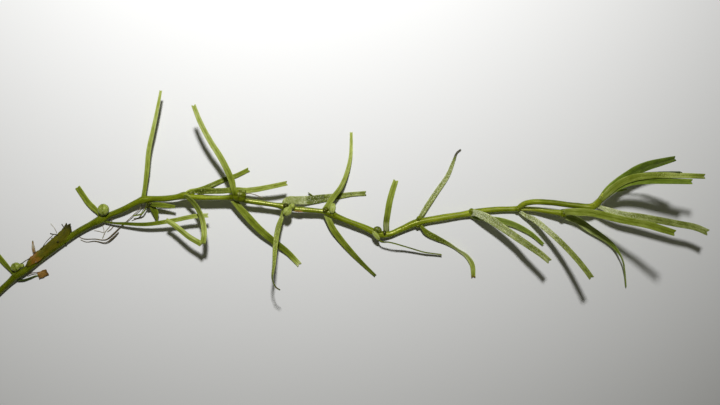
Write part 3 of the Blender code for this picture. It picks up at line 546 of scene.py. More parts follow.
rods = {
    "mainStem": {
        "node": "stem", "slot": "stem_green", "sides": 32, "ridge": 0.07, "knobs": 0.02, "seed": 1,
        "route": [(-54, -15.2, 0.43, 0.43), (-51.4, -12.7, 0.44, 0.44), (-49.6, -11.05, 0.48, 0.48),
            (-49, -10.5, 0.56, 0.56), (-47.9, -9.85, 0.53, 0.53), (-45.8, -8.2, 0.5, 0.5),
            (-44.15, -7, 0.5, 0.48), (-42.25, -5.6, 0.5, 0.47), (-39.9, -4.02, 0.52, 0.45),
            (-38.4, -3.2, 0.56, 0.46), (-36.7, -2.33, 0.64, 0.58), (-35.9, -1.93, 0.7, 0.46),
            (-33.6, -0.98, 0.9, 0.43), (-31.5, 0.08, 1.2, 0.45), (-30.6, 0.4, 1.3, 0.56),
            (-29.8, 0.5, 1.4, 0.44), (-27.4, 0.55, 1.8, 0.43), (-25.6, 0.8, 2.02, 0.44),
            (-24.7, 0.98, 2.1, 0.54), (-23.8, 0.8, 2.15, 0.42), (-22, 0.7, 2.2, 0.4),
            (-18.4, 0.7, 2.2, 0.41), (-17.2, 0.75, 2.2, 0.6), (-16.3, 0.35, 2.1, 0.42),
            (-14.3, 0, 1.95, 0.38), (-11.7, -0.4, 1.85, 0.38), (-10.6, -0.6, 1.8, 0.52),
            (-9.7, -0.82, 1.7, 0.4), (-7.4, -1.06, 1.5, 0.39), (-5.3, -1.28, 1.3, 0.39),
            (-4.4, -1.45, 1.25, 0.54), (-3.3, -2, 1.15, 0.45), (0.7, -3.6, 0.9, 0.45),
            (3, -4.55, 0.7, 0.54), (4, -4.55, 0.58, 0.44), (5.8, -3.85, 0.5, 0.45), (8.3, -2.8, 0.58, 0.54),
            (9.3, -2.6, 0.52, 0.49), (11.9, -2.15, 0.5, 0.49), (15, -1.65, 0.5, 0.47),
            (15.8, -1.5, 0.54, 0.52), (16.7, -1.3, 0.48, 0.44), (19.6, -1, 0.43, 0.41),
            (21.8, -0.93, 0.5, 0.4), (22.6, -0.88, 0.6, 0.45)],
        "tone": {-54: 0.3, -47: 0.3, -42: 0.28, -37: 0.38, -31: 0.45, -25: 0.48, -22: 0.58, -19: 0.54,
            -17.6: 0.2, -16.8: 0.2, -15.8: 0.42, -12: 0.42, -10.5: 0.35, -9: 0.45, -5: 0.4, -4: 0.42,
            0: 0.54, 2.5: 0.45, 5: 0.56, 8: 0.5, 10: 0.62, 14: 0.6, 18: 0.56, 23: 0.56},
        "speckle": {-54: 0.1, -26: 0.1, -22: 0.3, -18: 0.2, -15: 0.8, -5: 0.85, -4: 0.3, 3: 0.3, 4.5: 0.85,
            8: 0.75, 10: 0.2, 23: 0.1}, "brown": {-54: 0.35, -50: 0.2, -45: 0.15, -38: 0.05, 23: 0}},
    "upperBranch": {
        "node": "upper_branch", "slot": "stem_green", "sides": 28, "ridge": 0.07, "knobs": 0.02, "seed": 2,
        "route": [(22.3, -0.95, 0.7, 0.3), (22.8, -0.5, 1.1, 0.38), (23.4, -0.12, 1.65, 0.4),
            (24.2, 0.05, 2.1, 0.4), (26.7, 0, 2.3, 0.41), (30.2, -0.42, 2.5, 0.41), (32.8, -0.5, 2.8, 0.52),
            (33.45, 0.2, 3.25, 0.45), (34.5, 1.6, 4.2, 0.42), (35.3, 2.4, 4.8, 0.34)],
        "tone": {22: 0.7, 24: 0.62, 27: 0.42, 30: 0.42, 33: 0.62, 36: 0.62}, "speckle": 0.1},
    "sideShoot": {
        "node": "side_shoot", "slot": "stem_green", "sides": 28, "ridge": 0.07, "knobs": 0.02, "seed": 3,
        "route": [(22.5, -0.9, 0.62, 0.3), (23.5, -0.9, 0.72, 0.34), (25.1, -1, 0.9, 0.36),
            (26.9, -1.3, 1.2, 0.38), (28.6, -1.5, 1.5, 0.5)],
        # paler at the fork: painted light where the upper branch's shadow falls on the shoot
        "tone": {22: 0.95, 24: 0.82, 26.5: 0.62, 29: 0.52}, "speckle": {22: 0.1, 29: 0.3}},
    "rootA": {
        "node": "root_a", "sides": 10, "knobs": 0.35, "seed": 4,
        "route": [(-31, 0.1, 1, 0.09), (-31.1, -0.5, 0.65, 0.07), (-32.3, -1.8, 0.4, 0.06),
            (-33.4, -2.8, 0.3, 0.06), (-34.3, -3.6, 0.25, 0.07), (-35.1, -4.4, 0.2, 0.1),
            (-36.3, -5.3, 0.12, 0.07), (-37.8, -5.2, 0.1, 0.05), (-39.7, -5.1, 0.1, 0.05),
            (-40.1, -4.9, 0.1, 0.04)], "tone": {-40: 0.5, -35: 0.4, -34: 0.6, -31: 0.7},
        "brown": {-40: 0.2, -31: 0}},
    "rootB": {
        "node": "root_b", "sides": 10, "knobs": 0.35, "seed": 5,
        "route": [(-34.4, -4.2, 0.3, 0.06), (-35.3, -5.1, 0.4, 0.1), (-36.2, -5.7, 0.3, 0.07),
            (-37.8, -5.5, 0.15, 0.05), (-39.2, -5.6, 0.1, 0.04), (-39.9, -5.3, 0.1, 0.04)],
        "tone": {-40: 0.5, -35: 0.3, -34: 0.5}, "brown": {-40: 0, -34: 0.3}},
    "rootC": {
        "node": "root_c", "sides": 10, "seed": 6,
        "route": [(-16.2, 1.1, 2.35, 0.07), (-15.9, 1.25, 2.4, 0.07), (-14.8, 1.1, 2.45, 0.06),
            (-13.6, 0.6, 2.45, 0.05)], "tone": 0.6},
    "flakeThread": {
        "node": "flake_thread", "slot": "flake_brown", "sides": 10, "seed": 7,
        "route": [(-47.44, -10.33, 0.4, 0.06), (-46.75, -10.06, 0.4, 0.06), (-45.86, -9.94, 0.35, 0.05),
            (-45.66, -9.9, 0.33, 0.05)], "tone": 0.1},
    "rootD": {
        "knobs": 0.3, "seed": 11,
        "route": [(-36.8, -2.6, 0.35, 0.05), (-36.75, -3.2, 0.12, 0.05), (-36.6, -4.25, 0.08, 0.04),
            (-37.3, -4.1, 0.07, 0.04), (-38, -4, 0.06, 0.03)], "tone": {-38: 0.9, -36: 0.8}},
    "rootE": {
        "knobs": 0.4, "seed": 12,
        "route": [(-35.3, -2.1, 0.5, 0.05), (-35.6, -3.2, 0.1, 0.05), (-36.4, -4.25, 0.08, 0.06),
            (-36.75, -5.1, 0.16, 0.05)], "tone": {-37: 0.85, -35: 0.7}},
    "rootF": {
        "knobs": 0.4, "seed": 13,
        "route": [(-35.2, -3.4, 0.08, 0.05), (-35.6, -3.85, 0.08, 0.06), (-36.1, -4.2, 0.08, 0.05)],
        "tone": 0.6},
    "rootG": {
        "knobs": 0.4, "seed": 14,
        "route": [(-30.3, -0.4, 0.9, 0.05), (-30.9, -1.1, 0.55, 0.05), (-31.4, -2, 0.2, 0.05),
            (-32.6, -2.6, 0.08, 0.04)], "tone": {-33: 0.4, -30: 0.3}},
    "fruitThread": {
        "slot": "withered_brown", "seed": 15,
        "route": [(-48.3, -8.9, 1.05, 0.06), (-47.6, -8.4, 1.25, 0.06), (-46.8, -7.9, 1.2, 0.06)],
        "tone": 0.35},
    "marginThread": {
        "slot": "withered_brown", "knobs": 0.3, "seed": 16,
        "route": [(-43.4, -4.5, 1.1, 0.04), (-43.75, -4.85, 1.2, 0.05), (-44.6, -5.75, 1.2, 0.05),
            (-45.2, -6.7, 1.2, 0.04)], "tone": {-46: 0.5, -43: 0.2}},
    "twigA": {
        "slot": "withered_brown", "knobs": 0.5, "seed": 17,
        "route": [(-43.9, -4.4, 1.3, 0.09), (-43.55, -4.5, 1.2, 0.07), (-43.1, -4.55, 1.1, 0.07),
            (-42.8, -4.7, 1, 0.06)], "tone": {-44: 0.1, -43: 0.2}},
    "twigB": {
        "slot": "withered_brown", "knobs": 0.5, "seed": 18,
        "route": [(-42.3, -3.05, 1.15, 0.07), (-42.1, -3.4, 1.05, 0.07), (-41.95, -3.8, 0.95, 0.06)],
        "tone": {-43: 0.1, -41: 0.3}},
    "paleThread": {
        "seed": 19,
        "route": [(-44.2, -3, 0.05, 0.03), (-43.7, -3.5, 0.15, 0.03), (-43.2, -4.1, 0.6, 0.03),
            (-43, -4.45, 0.95, 0.03)], "tone": 1},
    # a near-black strand lying on the paper: painted shadow of the stem and the flake's thread
    "paintedShadowStrand": {
        "slot": "dark_leaf", "sides": 10, "seed": 20,
        "route": [(-48.9, -11.1, 0.3, 0.16), (-48.2, -11.12, 0.2, 0.17), (-47.2, -10.85, 0.17, 0.15),
            (-46.3, -10.5, 0.17, 0.1), (-45.9, -10.4, 0.2, 0.06)],
        "tone": {-49: 0.02, -47: 0.02, -46: 0.5}},
    "spur": {
        "slot": "stem_green", "knobs": 0.3, "seed": 21,
        "route": [(-7.4, 1.42, 0.4, 0.06), (-7.1, 1.2, 0.36, 0.09), (-6.75, 0.95, 0.3, 0.08)],
        "tone": {-8: 0.3, -6: 0.45}, "brown": {-8: 0.2, -6: 0}},
}


def growRod(name, rod):
    rows = smoothRows([(*point, 0) for point in rod["route"]])
    endLength = min(pathDetail["rodEnd"], rod["route"][0][3])
    rows, spots = evenRows(rows, endLength)
    values = {
        "pathRadius": rows[:, 3] * mm * roundedEnds(spots, endLength), "rowLength": spots}
    for key in ("tone", "speckle", "brown"):
        values[key] = spread(rows[:, 0], rod[key])
    source = pathObject(name, rows, rowFrames(rows, spots), values)
    return growPiece(name, source, rodTree, {
        "Sides": rod["sides"], "Ridge": rod["ridge"], "Knobs": rod["knobs"], "Seed": rod["seed"],
        "Material": materials[rod["slot"]]})


for name, changes in rods.items():
    rod = {**plainRod, **changes}
    settle(growRod(name, rod), rod["slot"], *rod["node"].split())
stemRows = np.concatenate([smoothRows(rods[name]["route"])[:, :3]
                           for name in ("mainStem", "upperBranch", "sideShoot")])
print("stems, roots and strands grown:", len(rods))


# Leaves: x, y, height, width and, where it isn't 0, tilt along the middle, in mm and degrees. Tone runs
# from 0, deep green, to 1, pale yellow-green; it, the points of painted highlight and the brown are one
# value, a first and a last value, or values by share of the length. base: how the leaf grows out of the
# stem, where its own line doesn't lead there; planTurns: the fifth value is the blade's direction seen
# from above. What isn't given is as in plainLeaf

plainLeaf = {"slot": "leaf_green", "notch": 0.3, "speckle": 0.1, "brown": (0, 0.1)}

leaves = {
    "leaf_1": {
        "notch": 0.32,
        "route": [(-49.6, -9.7, 0.55, 0.5), (-50.6, -8.7, 0.4, 0.7), (-52.6, -6.5, 0.22, 0.75),
            (-54.6, -4.5, 0.15, 0.72), (-56.3, -2.9, 0.14, 0.66)], "tone": {0: 0.3, 0.5: 0.45, 1: 0.4},
        "brown": 0},
    "leaf_2a": {
        "notch": 0.12,
        "route": [(-37.2, -1.45, 0.5, 0.65), (-37.9, -0.8, 0.42, 0.8), (-38.65, -0.1, 0.32, 0.83),
            (-39.5, 1, 0.2, 0.83), (-40.35, 2.25, 0.14, 0.8)], "tone": {0: 0.46, 0.5: 0.5, 1: 0.44},
        "brown": {0: 0, 0.95: 0, 1: 0.2}},
    "leaf_2b": {
        "notch": 0.34,
        "route": [(-35.9, -2.8, 0.6, 0.3), (-33.2, -3, 1.1, 0.45), (-30.6, -3.1, 1.5, 0.55),
            (-26.7, -2.6, 2.15, 0.62), (-22.9, -1.9, 2.6, 0.64), (-21.2, -1.8, 2.75, 0.62)],
        "tone": {0: 0.15, 0.35: 0.28, 0.6: 0.5, 0.8: 0.62, 1: 0.9}, "speckle": {0: 0, 0.5: 0.2, 1: 0.5}},
    "leaf_3a": {
        "route": [(-30.6, 1.2, 1.35, 0.6), (-30.15, 4.4, 1.5, 0.68), (-29.8, 7.5, 1.8, 0.66, 10),
            (-29.1, 10.5, 2.1, 0.57, 15), (-28.4, 13.7, 2.3, 0.48, 20), (-28, 15.8, 2.4, 0.38, 20)],
        "tone": {0: 0.45, 0.4: 0.7, 0.7: 0.76, 1: 0.8}, "speckle": {0: 0, 0.6: 0.3, 1: 0.35}},
    "leaflet_3b": {
        "route": [(-29.3, -0.3, 1.5, 0.6), (-28.6, -0.34, 1.6, 0.76), (-27.5, -0.42, 1.75, 0.62),
            (-26, -0.62, 1.9, 0.42)], "tone": {0: 0.2, 0.6: 0.42, 1: 0.36}, "speckle": (0, 0.2),
        "brown": 0},
    "leaflet_3c": {
        "notch": 0,
        "route": [(-29.45, -0.7, 1.1, 0.75), (-29, -1.45, 1, 0.92, 12), (-28.9, -2.1, 0.97, 0.5, 15),
            (-28.75, -2.7, 0.95, 0.14, 20)], "tone": (0.25, 0.35), "speckle": 0},
    "leaflet_3d": {
        "notch": 0,
        "route": [(-30.4, -0.8, 0.95, 0.18), (-30.9, -1.55, 0.9, 0.24), (-32.2, -1.9, 0.8, 0.2)],
        "tone": (0.35, 0.45), "speckle": 0},
    "leaf_4a": {
        "notch": 0.34,
        "route": [(-24, 1.6, 2.2, 0.5), (-23.05, 1.77, 1.6, 0.6), (-22.1, 2.08, 0.85, 0.63),
            (-21.25, 2.45, 0.4, 0.66), (-19.75, 3.12, 0.2, 0.66), (-17.6, 3.87, 0.15, 0.65),
            (-15.8, 4.75, 0.14, 0.62)], "tone": {0: 0.8, 0.4: 0.34, 1: 0.5},
        "speckle": {0: 0.2, 0.5: 0.4, 1: 0.2}, "brown": {0: 0.1, 0.95: 0.1, 1: 0.3}},
    "leaf_4b": {
        "notch": 0.2, "planTurns": True,
        "route": [(-24.3, 0.8, 2.9, 0.5, 217), (-23.55, 0.2, 3, 0.66, 215), (-22.6, -1, 3.3, 0.72, 205),
            (-22, -2.3, 3.6, 0.74, 192), (-21.7, -3.7, 3.95, 0.78, 183), (-21.7, -5, 4.25, 0.78, 184),
            (-21.95, -5.75, 4.1, 0.8, 208), (-22.6, -5.5, 3.75, 0.8, 232), (-23.6, -4.95, 3.65, 0.78, 235),
            (-25.1, -3.8, 3.5, 0.75, 233), (-26.15, -3.02, 3.3, 0.72, 231),
            (-27.2, -2.43, 3.15, 0.66, 229)],
        "tone": {0: 0.18, 0.2: 0.24, 0.4: 0.6, 0.55: 0.6, 0.8: 0.58, 1: 0.72},
        "speckle": {0: 0.1, 0.4: 0.3, 0.6: 0.2, 1: 0.1}, "brown": {0: 0, 0.94: 0, 1: 0.35}},
    "leaf_4c": {
        "notch": 0.34,
        "route": [(-23.5, 1.45, 2.3, 0.5), (-22.3, 1.55, 2.7, 0.76), (-20.6, 1.6, 2.85, 0.82),
            (-19.2, 1.64, 2.75, 0.82), (-18.1, 1.74, 2.35, 0.78), (-17.2, 1.78, 1.95, 0.76),
            (-16.3, 1.7, 1.9, 0.8), (-15, 1.78, 2.35, 0.8), (-13, 2.12, 2.9, 0.74),
            (-10.1, 2.72, 3.3, 0.66)], "tone": {0: 0.24, 0.15: 0.18, 0.4: 0.36, 0.6: 0.72, 1: 0.56},
        "speckle": {0: 0.5, 0.5: 0.3, 1: 0.3}, "brown": {0: 0, 0.75: 0, 0.85: 0.28, 1: 0.3}},
    "leaf_5a": {
        "notch": 0.34,
        "route": [(-17.6, 1.45, 3.05, 0.72), (-17.9, 2.9, 3.15, 0.9), (-18.35, 4.1, 3.4, 0.9),
            (-19.4, 6.3, 4, 0.87), (-20.75, 8.5, 4.5, 0.8), (-22.1, 11.2, 5.1, 0.72),
            (-22.95, 13.5, 5.5, 0.64)], "tone": {0: 0.35, 0.15: 0.5, 0.4: 0.72, 0.6: 0.76, 1: 0.78},
        "speckle": (0.1, 0.15), "brown": {0: 0, 0.97: 0, 1: 0.3}},
    "leaf_5b": {
        "route": [(-17.4, -0.2, 2.05, 0.9), (-16.08, -1.75, 1.8, 1.05), (-14.15, -3.83, 1.4, 1),
            (-12.25, -5.5, 0.9, 0.92), (-10.35, -7.05, 0.4, 0.83), (-8.55, -8.95, 0.14, 0.75)],
        "tone": {0: 0.58, 0.2: 0.5, 0.5: 0.46, 0.65: 0.22, 0.85: 0.45, 1: 0.9},
        "speckle": {0: 0.3, 0.3: 0.1, 1: 0.1}, "brown": {0: 0.15, 0.2: 0.05, 0.95: 0, 1: 0.3}},
    "leaf_6a": {
        "notch": 0,
        "route": [(-10.8, -1.4, 1.75, 0.6), (-11.5, -3.6, 2.5, 0.76), (-11.8, -5.8, 3.4, 0.7),
            (-11.9, -8.5, 4.5, 0.57, 30), (-12, -10.9, 5.2, 0.4, 60), (-11.6, -11.7, 5.4, 0.26, 75),
            (-11, -12.1, 5.4, 0.22, 75)], "tone": {0: 0.45, 0.4: 0.44, 0.65: 0.6, 0.8: 0.35, 1: 0},
        "speckle": {0: 0.3, 0.5: 0.6, 0.78: 0.7, 0.9: 0.1, 1: 0},
        "brown": {0: 0, 0.72: 0, 0.85: 0.2, 1: 0.35}},
    "leaf_6b": {
        "slot": "pale_leaf", "notch": 0.32, "base": [(-10.65, -0.5, 1.9, 0.7), (-10.5, 0.05, 2, 0.95)],
        "route": [(-10.1, 0.33, 1.8, 1.05), (-9.2, 0.32, 1.4, 1.15), (-8.4, 0.32, 0.9, 1.2),
            (-7.6, 0.34, 0.45, 1.25), (-6.8, 0.38, 0.2, 1.26), (-5.7, 0.54, 0.15, 1.18),
            (-4.85, 0.66, 0.14, 1.08), (-2.55, 0.99, 0.14, 0.8), (-1.15, 1.18, 0.14, 0.66),
            (0.93, 1.33, 0.14, 0.66)],
        "tone": {0: 0.58, 0.12: 0.64, 0.22: 0.68, 0.29: 0.74, 0.33: 0.3, 0.4: 0.2, 0.5: 0.25, 0.66: 0.35,
            0.75: 0.5, 1: 0.5}, "speckle": {0: 0.3, 0.2: 0.5, 0.28: 0.8, 0.35: 0.5, 0.6: 0.45, 1: 0.25}},
    "leaf_7a": {
        "notch": 0.32,
        "route": [(-4.6, -0.5, 1.75, 0.8), (-3.9, 0.6, 1.85, 0.78), (-2.95, 1.8, 1.75, 0.7),
            (-1.75, 4.6, 0.95, 0.6), (-1.3, 6.9, 0.45, 0.52), (-1.25, 8.5, 0.2, 0.46),
            (-1.25, 10.1, 0.14, 0.4)], "tone": {0: 0.75, 0.3: 0.47, 0.45: 0.5, 0.6: 0.6, 1: 0.72},
        "speckle": {0: 0.4, 0.4: 0.2, 1: 0.4}, "brown": {0: 0.15, 0.3: 0, 1: 0.15}},
    "leaf_7b": {
        "notch": 0.25,
        "route": [(-4.5, -2.3, 1.1, 0.8), (-3.9, -3.6, 0.8, 0.88), (-2.55, -5.5, 0.45, 0.86),
            (-1, -7.3, 0.25, 0.74), (0.6, -8.95, 0.15, 0.56), (2.25, -10.5, 0.14, 0.4)],
        "tone": {0: 0.78, 0.3: 0.46, 1: 0.18}, "brown": (0, 0.2)},
    "leaf_8a": {
        "notch": 0.22,
        "route": [(3.75, -3.85, 0.4, 0.85), (3.75, -2.9, 0.16, 0.88), (3.95, -1.5, 0.12, 0.9),
            (4.2, 0, 0.12, 0.9), (4.7, 1.9, 0.12, 0.84), (5.15, 3.25, 0.12, 0.74)],
        "tone": {0: 0.05, 0.25: 0.25, 0.5: 0.5, 1: 0.66}, "brown": {0: 0, 0.95: 0, 1: 0.3}},
    "leaf_8b": {
        "notch": 0.2,
        "route": [(2.9, -5.5, 1.5, 0.3, 60), (4.06, -5.64, 1.95, 0.42, 85), (6.54, -6.32, 1.2, 0.5, 88),
            (9.03, -7.08, 0.6, 0.5, 88), (11.7, -7.47, 0.4, 0.5, 88)], "tone": {0: 0.3, 0.5: 0.25, 1: 0.3},
        "speckle": (0, 0.1), "brown": (0.1, 0.3)},
    "leaf_9a": {
        "slot": "pale_leaf", "notch": 0.2,
        "route": [(8.6, -2, 0.85, 0.6), (9.3, -0.9, 0.6, 0.7), (11, 1.6, 0.25, 0.74), (12.6, 4, 0.15, 0.64),
            (13.4, 6, 0.15, 0.46, 5), (13.9, 7.2, 0.19, 0.28, 20), (14.4, 7.6, 0.22, 0.22, 30)],
        "tone": {0: 0.45, 0.5: 0.55, 0.65: 0.6, 0.8: 0.55, 1: 0.3},
        "speckle": {0: 0.4, 0.5: 0.6, 0.75: 0.6, 1: 0.3}, "brown": {0: 0, 0.75: 0.05, 0.9: 0.5, 1: 0.8}},
    "leaf_9b": {
        "route": [(8.7, -3.4, 0.8, 0.45), (9.5, -4.25, 0.62, 0.8, 15), (10.9, -5.02, 0.55, 0.84, 25),
            (12.5, -5.8, 0.5, 0.66, 42), (14, -6.75, 0.45, 0.56, 52), (15.2, -7.6, 0.38, 0.62, 30),
            (15.95, -8.7, 0.2, 0.7, 8), (16.2, -10.8, 0.14, 0.6)],
        "tone": {0: 0.5, 0.35: 0.34, 0.5: 0.8, 0.65: 0.92, 0.8: 0.75, 1: 0.55},
        "speckle": {0: 0.3, 0.5: 0.6, 1: 0.1}, "brown": {0: 0, 0.9: 0, 1: 0.5}},
    "leaf_10a": {
        "slot": "pale_leaf",
        "route": [(16.4, -1.5, 1.5, 0.9), (17.3, -1.85, 1.9, 1.1), (20.25, -3.7, 2.5, 1.08),
            (22, -4.95, 3.1, 1.02), (23.6, -6.1, 4.2, 0.95), (25.2, -7.3, 5, 0.85),
            (26.2, -8.2, 5.4, 0.76)], "tone": {0: 0.55, 0.35: 0.46, 0.7: 0.5, 1: 0.42},
        "speckle": {0: 1, 0.1: 0.9, 0.3: 0.65, 1: 0.4}},
    "leaf_10b": {
        "slot": "dark_leaf",
        "route": [(16.4, -2.15, 0.75, 0.45, 30), (18.1, -2.25, 0.7, 0.88, 35), (19.7, -2.5, 0.65, 1.05, 36),
            (22.4, -3.35, 0.6, 1, 36), (24.3, -4.4, 0.5, 0.76, 34), (26.2, -6, 0.4, 0.45, 30)],
        "tone": {0: 0.5, 0.4: 0.72, 1: 0.6}},
    "leaf_11": {
        "slot": "pale_leaf", "notch": 0.32,
        "route": [(23.2, -1.65, 0.7, 0.55), (24.35, -2.25, 1.2, 0.76), (26.65, -4.15, 2.4, 0.8),
            (29.1, -6.75, 4.2, 0.8), (31.1, -9.5, 6.2, 0.78), (31.65, -10.4, 6.8, 0.76)],
        "tone": {0: 0.5, 0.25: 0.66, 0.5: 0.56, 1: 0.38}, "speckle": {0: 0.7, 0.3: 0.8, 0.7: 0.3, 1: 0.2}},
    "leaf_12a": {
        "route": [(29.3, -1.3, 2.25, 0.95), (30.76, -1.34, 3.2, 1.08), (31.98, -1.42, 4, 1.02),
            (33.14, -1.66, 4.95, 1.05), (34.33, -1.97, 5.8, 1.05), (35.5, -2.3, 6.6, 1.03),
            (36.6, -2.56, 7.6, 1), (37.7, -2.8, 8.6, 0.98), (38.78, -3.07, 9.6, 1),
            (39.83, -3.45, 10.6, 0.97), (41.5, -4.05, 12, 0.85)],
        "tone": {0: 0.66, 0.3: 0.55, 0.7: 0.56, 1: 0.46}, "speckle": {0: 0.1, 0.5: 0.2, 1: 0.2}},
    "leaf_12b": {
        "slot": "dark_leaf", "notch": 0.25,
        "route": [(28.9, -1.9, 1.2, 0.7, 8), (29.9, -2.2, 1.05, 0.95, 10), (30.66, -2.4, 0.95, 1.02, 10),
            (31.68, -3.05, 0.85, 1.05, 10), (32.69, -3.77, 0.75, 1.02, 12), (34.14, -4.69, 0.65, 0.9, 18),
            (35.27, -5.48, 0.65, 0.76, 25), (36.1, -6.25, 0.75, 0.64, 35), (36.61, -6.95, 1, 0.55, 55),
            (36.96, -7.58, 1.3, 0.5, 70), (37.3, -8.43, 1.2, 0.48, 80), (37.58, -9.59, 0.8, 0.45, 80),
            (37.8, -10.9, 0.4, 0.4, 80), (37.94, -12.13, 0.2, 0.35, 80)],
        # the first half is paler than the leaf's own deep green: painted light where leaf_12a's shadow
        # falls on it
        "tone": {0: 0.85, 0.5: 0.8, 0.62: 0.6, 0.8: 0.6, 1: 0.55}, "speckle": (0, 0.2), "brown": (0, 0.3)},
    "leaf_13": {
        "slot": "pale_leaf", "notch": 0.32,
        "route": [(33.75, -0.7, 2.9, 0.6), (35, -1.18, 3.1, 0.85), (36.5, -1.65, 3.3, 0.98),
            (38.9, -2.02, 3.7, 1.05), (41.4, -2.45, 4.2, 1), (44, -2.95, 4.6, 0.97),
            (46.6, -3.5, 4.8, 0.93), (48.2, -4.2, 4.9, 0.9)],
        "tone": {0: 0.55, 0.1: 0.8, 0.2: 0.75, 0.35: 0.58, 0.6: 0.42, 0.8: 0.52, 1: 0.7},
        "speckle": {0: 0.7, 0.2: 0.7, 0.35: 0.5, 0.6: 0.2, 1: 0.3}},
    "tip_leaf_a": {
        "slot": "dark_leaf", "base": [(33.5, 0.5, 3.5, 0.7), (34.4, 1.72, 4, 0.9)],
        "route": [(35.6, 2.75, 4.15, 1.05), (37.14, 3.74, 4.1, 1.2), (38.54, 4.52, 4, 1.32),
            (40.13, 5.15, 4, 1.28), (41.71, 5.58, 4.15, 1.1), (43.85, 6.13, 4.35, 0.72)],
        "tone": {0: 0.55, 0.25: 0.4, 0.5: 0.22, 1: 0.2}, "speckle": (0.2, 0.1), "brown": 0},
    "tip_leaf_b": {
        "base": [(33.55, 0.35, 3.75, 0.7), (34.6, 1.6, 4.7, 0.92)],
        "route": [(35.8, 2.65, 5.35, 1), (37.3, 3.33, 6, 1), (39.4, 3.66, 6.7, 0.88),
            (42.7, 3.66, 8.1, 0.76), (46.3, 3.5, 9.35, 0.7)],
        "tone": {0: 0.7, 0.4: 0.52, 0.6: 0.5, 0.8: 0.8, 1: 0.36},
        "speckle": {0: 0.2, 0.5: 0.3, 0.7: 0.7, 1: 0.3}},
    "tip_leaf_c": {
        "slot": "dark_leaf", "notch": 0.32, "base": [(33.65, 0.2, 3.4, 0.6), (34.75, 1.4, 4.4, 0.82)],
        "route": [(35.95, 2.27, 5.05, 0.88), (37.4, 2.8, 5.7, 0.92), (39.7, 2.96, 6.55, 0.88),
            (41.5, 2.92, 7.4, 0.83), (44.8, 2.8, 8.75, 0.72)],
        "tone": {0: 0.7, 0.4: 0.5, 0.7: 0.46, 1: 0.5}, "speckle": (0.2, 0.1), "brown": 0},
    "tip_leaf_d": {
        "slot": "dark_leaf", "notch": 0.25, "base": [(36.2, 3.1, 4.5, 0.3, 20), (37.4, 3.6, 4.7, 0.3, 50)],
        "route": [(38.6, 3.95, 5.3, 0.55, 72), (39.8, 4.06, 5.7, 0.9, 81), (41.3, 4.12, 6.75, 1.1, 86),
            (43.45, 4.09, 8.3, 0.95, 87)], "tone": {0: 0.3, 0.5: 0.1, 1: 0.15}, "speckle": (0, 0.1),
        "brown": 0},
    # tip_leaf_e lies in the shade of the tip leaves; its pale tone is painted light
    "tip_leaf_e": {
        "slot": "dark_leaf", "notch": 0,
        "route": [(35.6, 1.6, 4.2, 0.3), (36.3, 1.7, 4.35, 0.35), (37, 1.85, 4.5, 0.16)], "tone": 0.9,
        "speckle": 0, "brown": (0, 0.2)},
}

leafDetail = {
    "tipZone": 1.6, "intoStem": 0.9, "offAxis": 0.15, "baseWidth": 1.15, "baseThick": 1.2,
    "baseFade": 0.8, "openLength": 1.5, "leastOpen": 0.2, "lowest": 0.14, "firstWitheredSeed": 40}


def growLeaf(name, leaf, number, fromStem=True):
    route = [(*point, 0)[:5] for point in leaf.get("base", []) + leaf["route"]]
    if fromStem and "base" not in leaf:
        # the base is carried back along the leaf's own line until it is inside the stem
        base, second = np.array(route[0][:3]), np.array(route[1][:3])
        heading = (second - base) / np.linalg.norm(second - base)
        back = base - heading * leafDetail["intoStem"]
        axis = stemRows[np.argmin(np.linalg.norm(stemRows - back, axis=1))]
        inside = axis + (back - axis) * leafDetail["offAxis"]
        route.insert(0, (*inside, route[0][3] * leafDetail["baseWidth"], route[0][4]))
    rows = smoothRows(route)
    rows[:, 2] = np.maximum(rows[:, 2], leafDetail["lowest"])
    rows, spots = evenRows(rows, pathDetail["leafEnd"])
    tipLength = leafDetail["tipZone"] * rows[-1, 3]
    nearTip = np.clip((spots - spots[-1] + tipLength) / tipLength, 0, 1)
    thicker = 1 + leafDetail["baseThick"] * np.exp(-spots / leafDetail["baseFade"])
    values = {
        "pathHalfWidth": rows[:, 3] * mm / 2,
        "pathThick": roundedEnds(spots, pathDetail["leafEnd"]) * thicker,
        "pathPull": rows[:, 3] * mm * nearTip ** 2,
        "pathOpen": np.clip(spots / leafDetail["openLength"], leafDetail["leastOpen"], 1),
        "rowLength": spots}
    for key in ("tone", "speckle", "brown"):
        values[key] = spread(spots / spots[-1], leaf[key])
    frames = rowFrames(rows, spots, planTurns=leaf.get("planTurns", False))
    source = pathObject(name, rows, frames, values)
    return growPiece(name, source, leafTree, {
        "Notch": leaf["notch"], "Seed": number, "Material": materials[leaf["slot"]],
        **leaf.get("shape", {})})


for number, (node, changes) in enumerate(leaves.items()):
    leaf = {**plainLeaf, **changes}
    name = "".join(word.capitalize() if i else word for i, word in enumerate(node.split("_")))
    settle(growLeaf(name, leaf, number), leaf["slot"], node)
print("leaves grown:", len(leaves))


# Withered pieces: thin, curled and torn; they lie on the stem and don't grow out of it

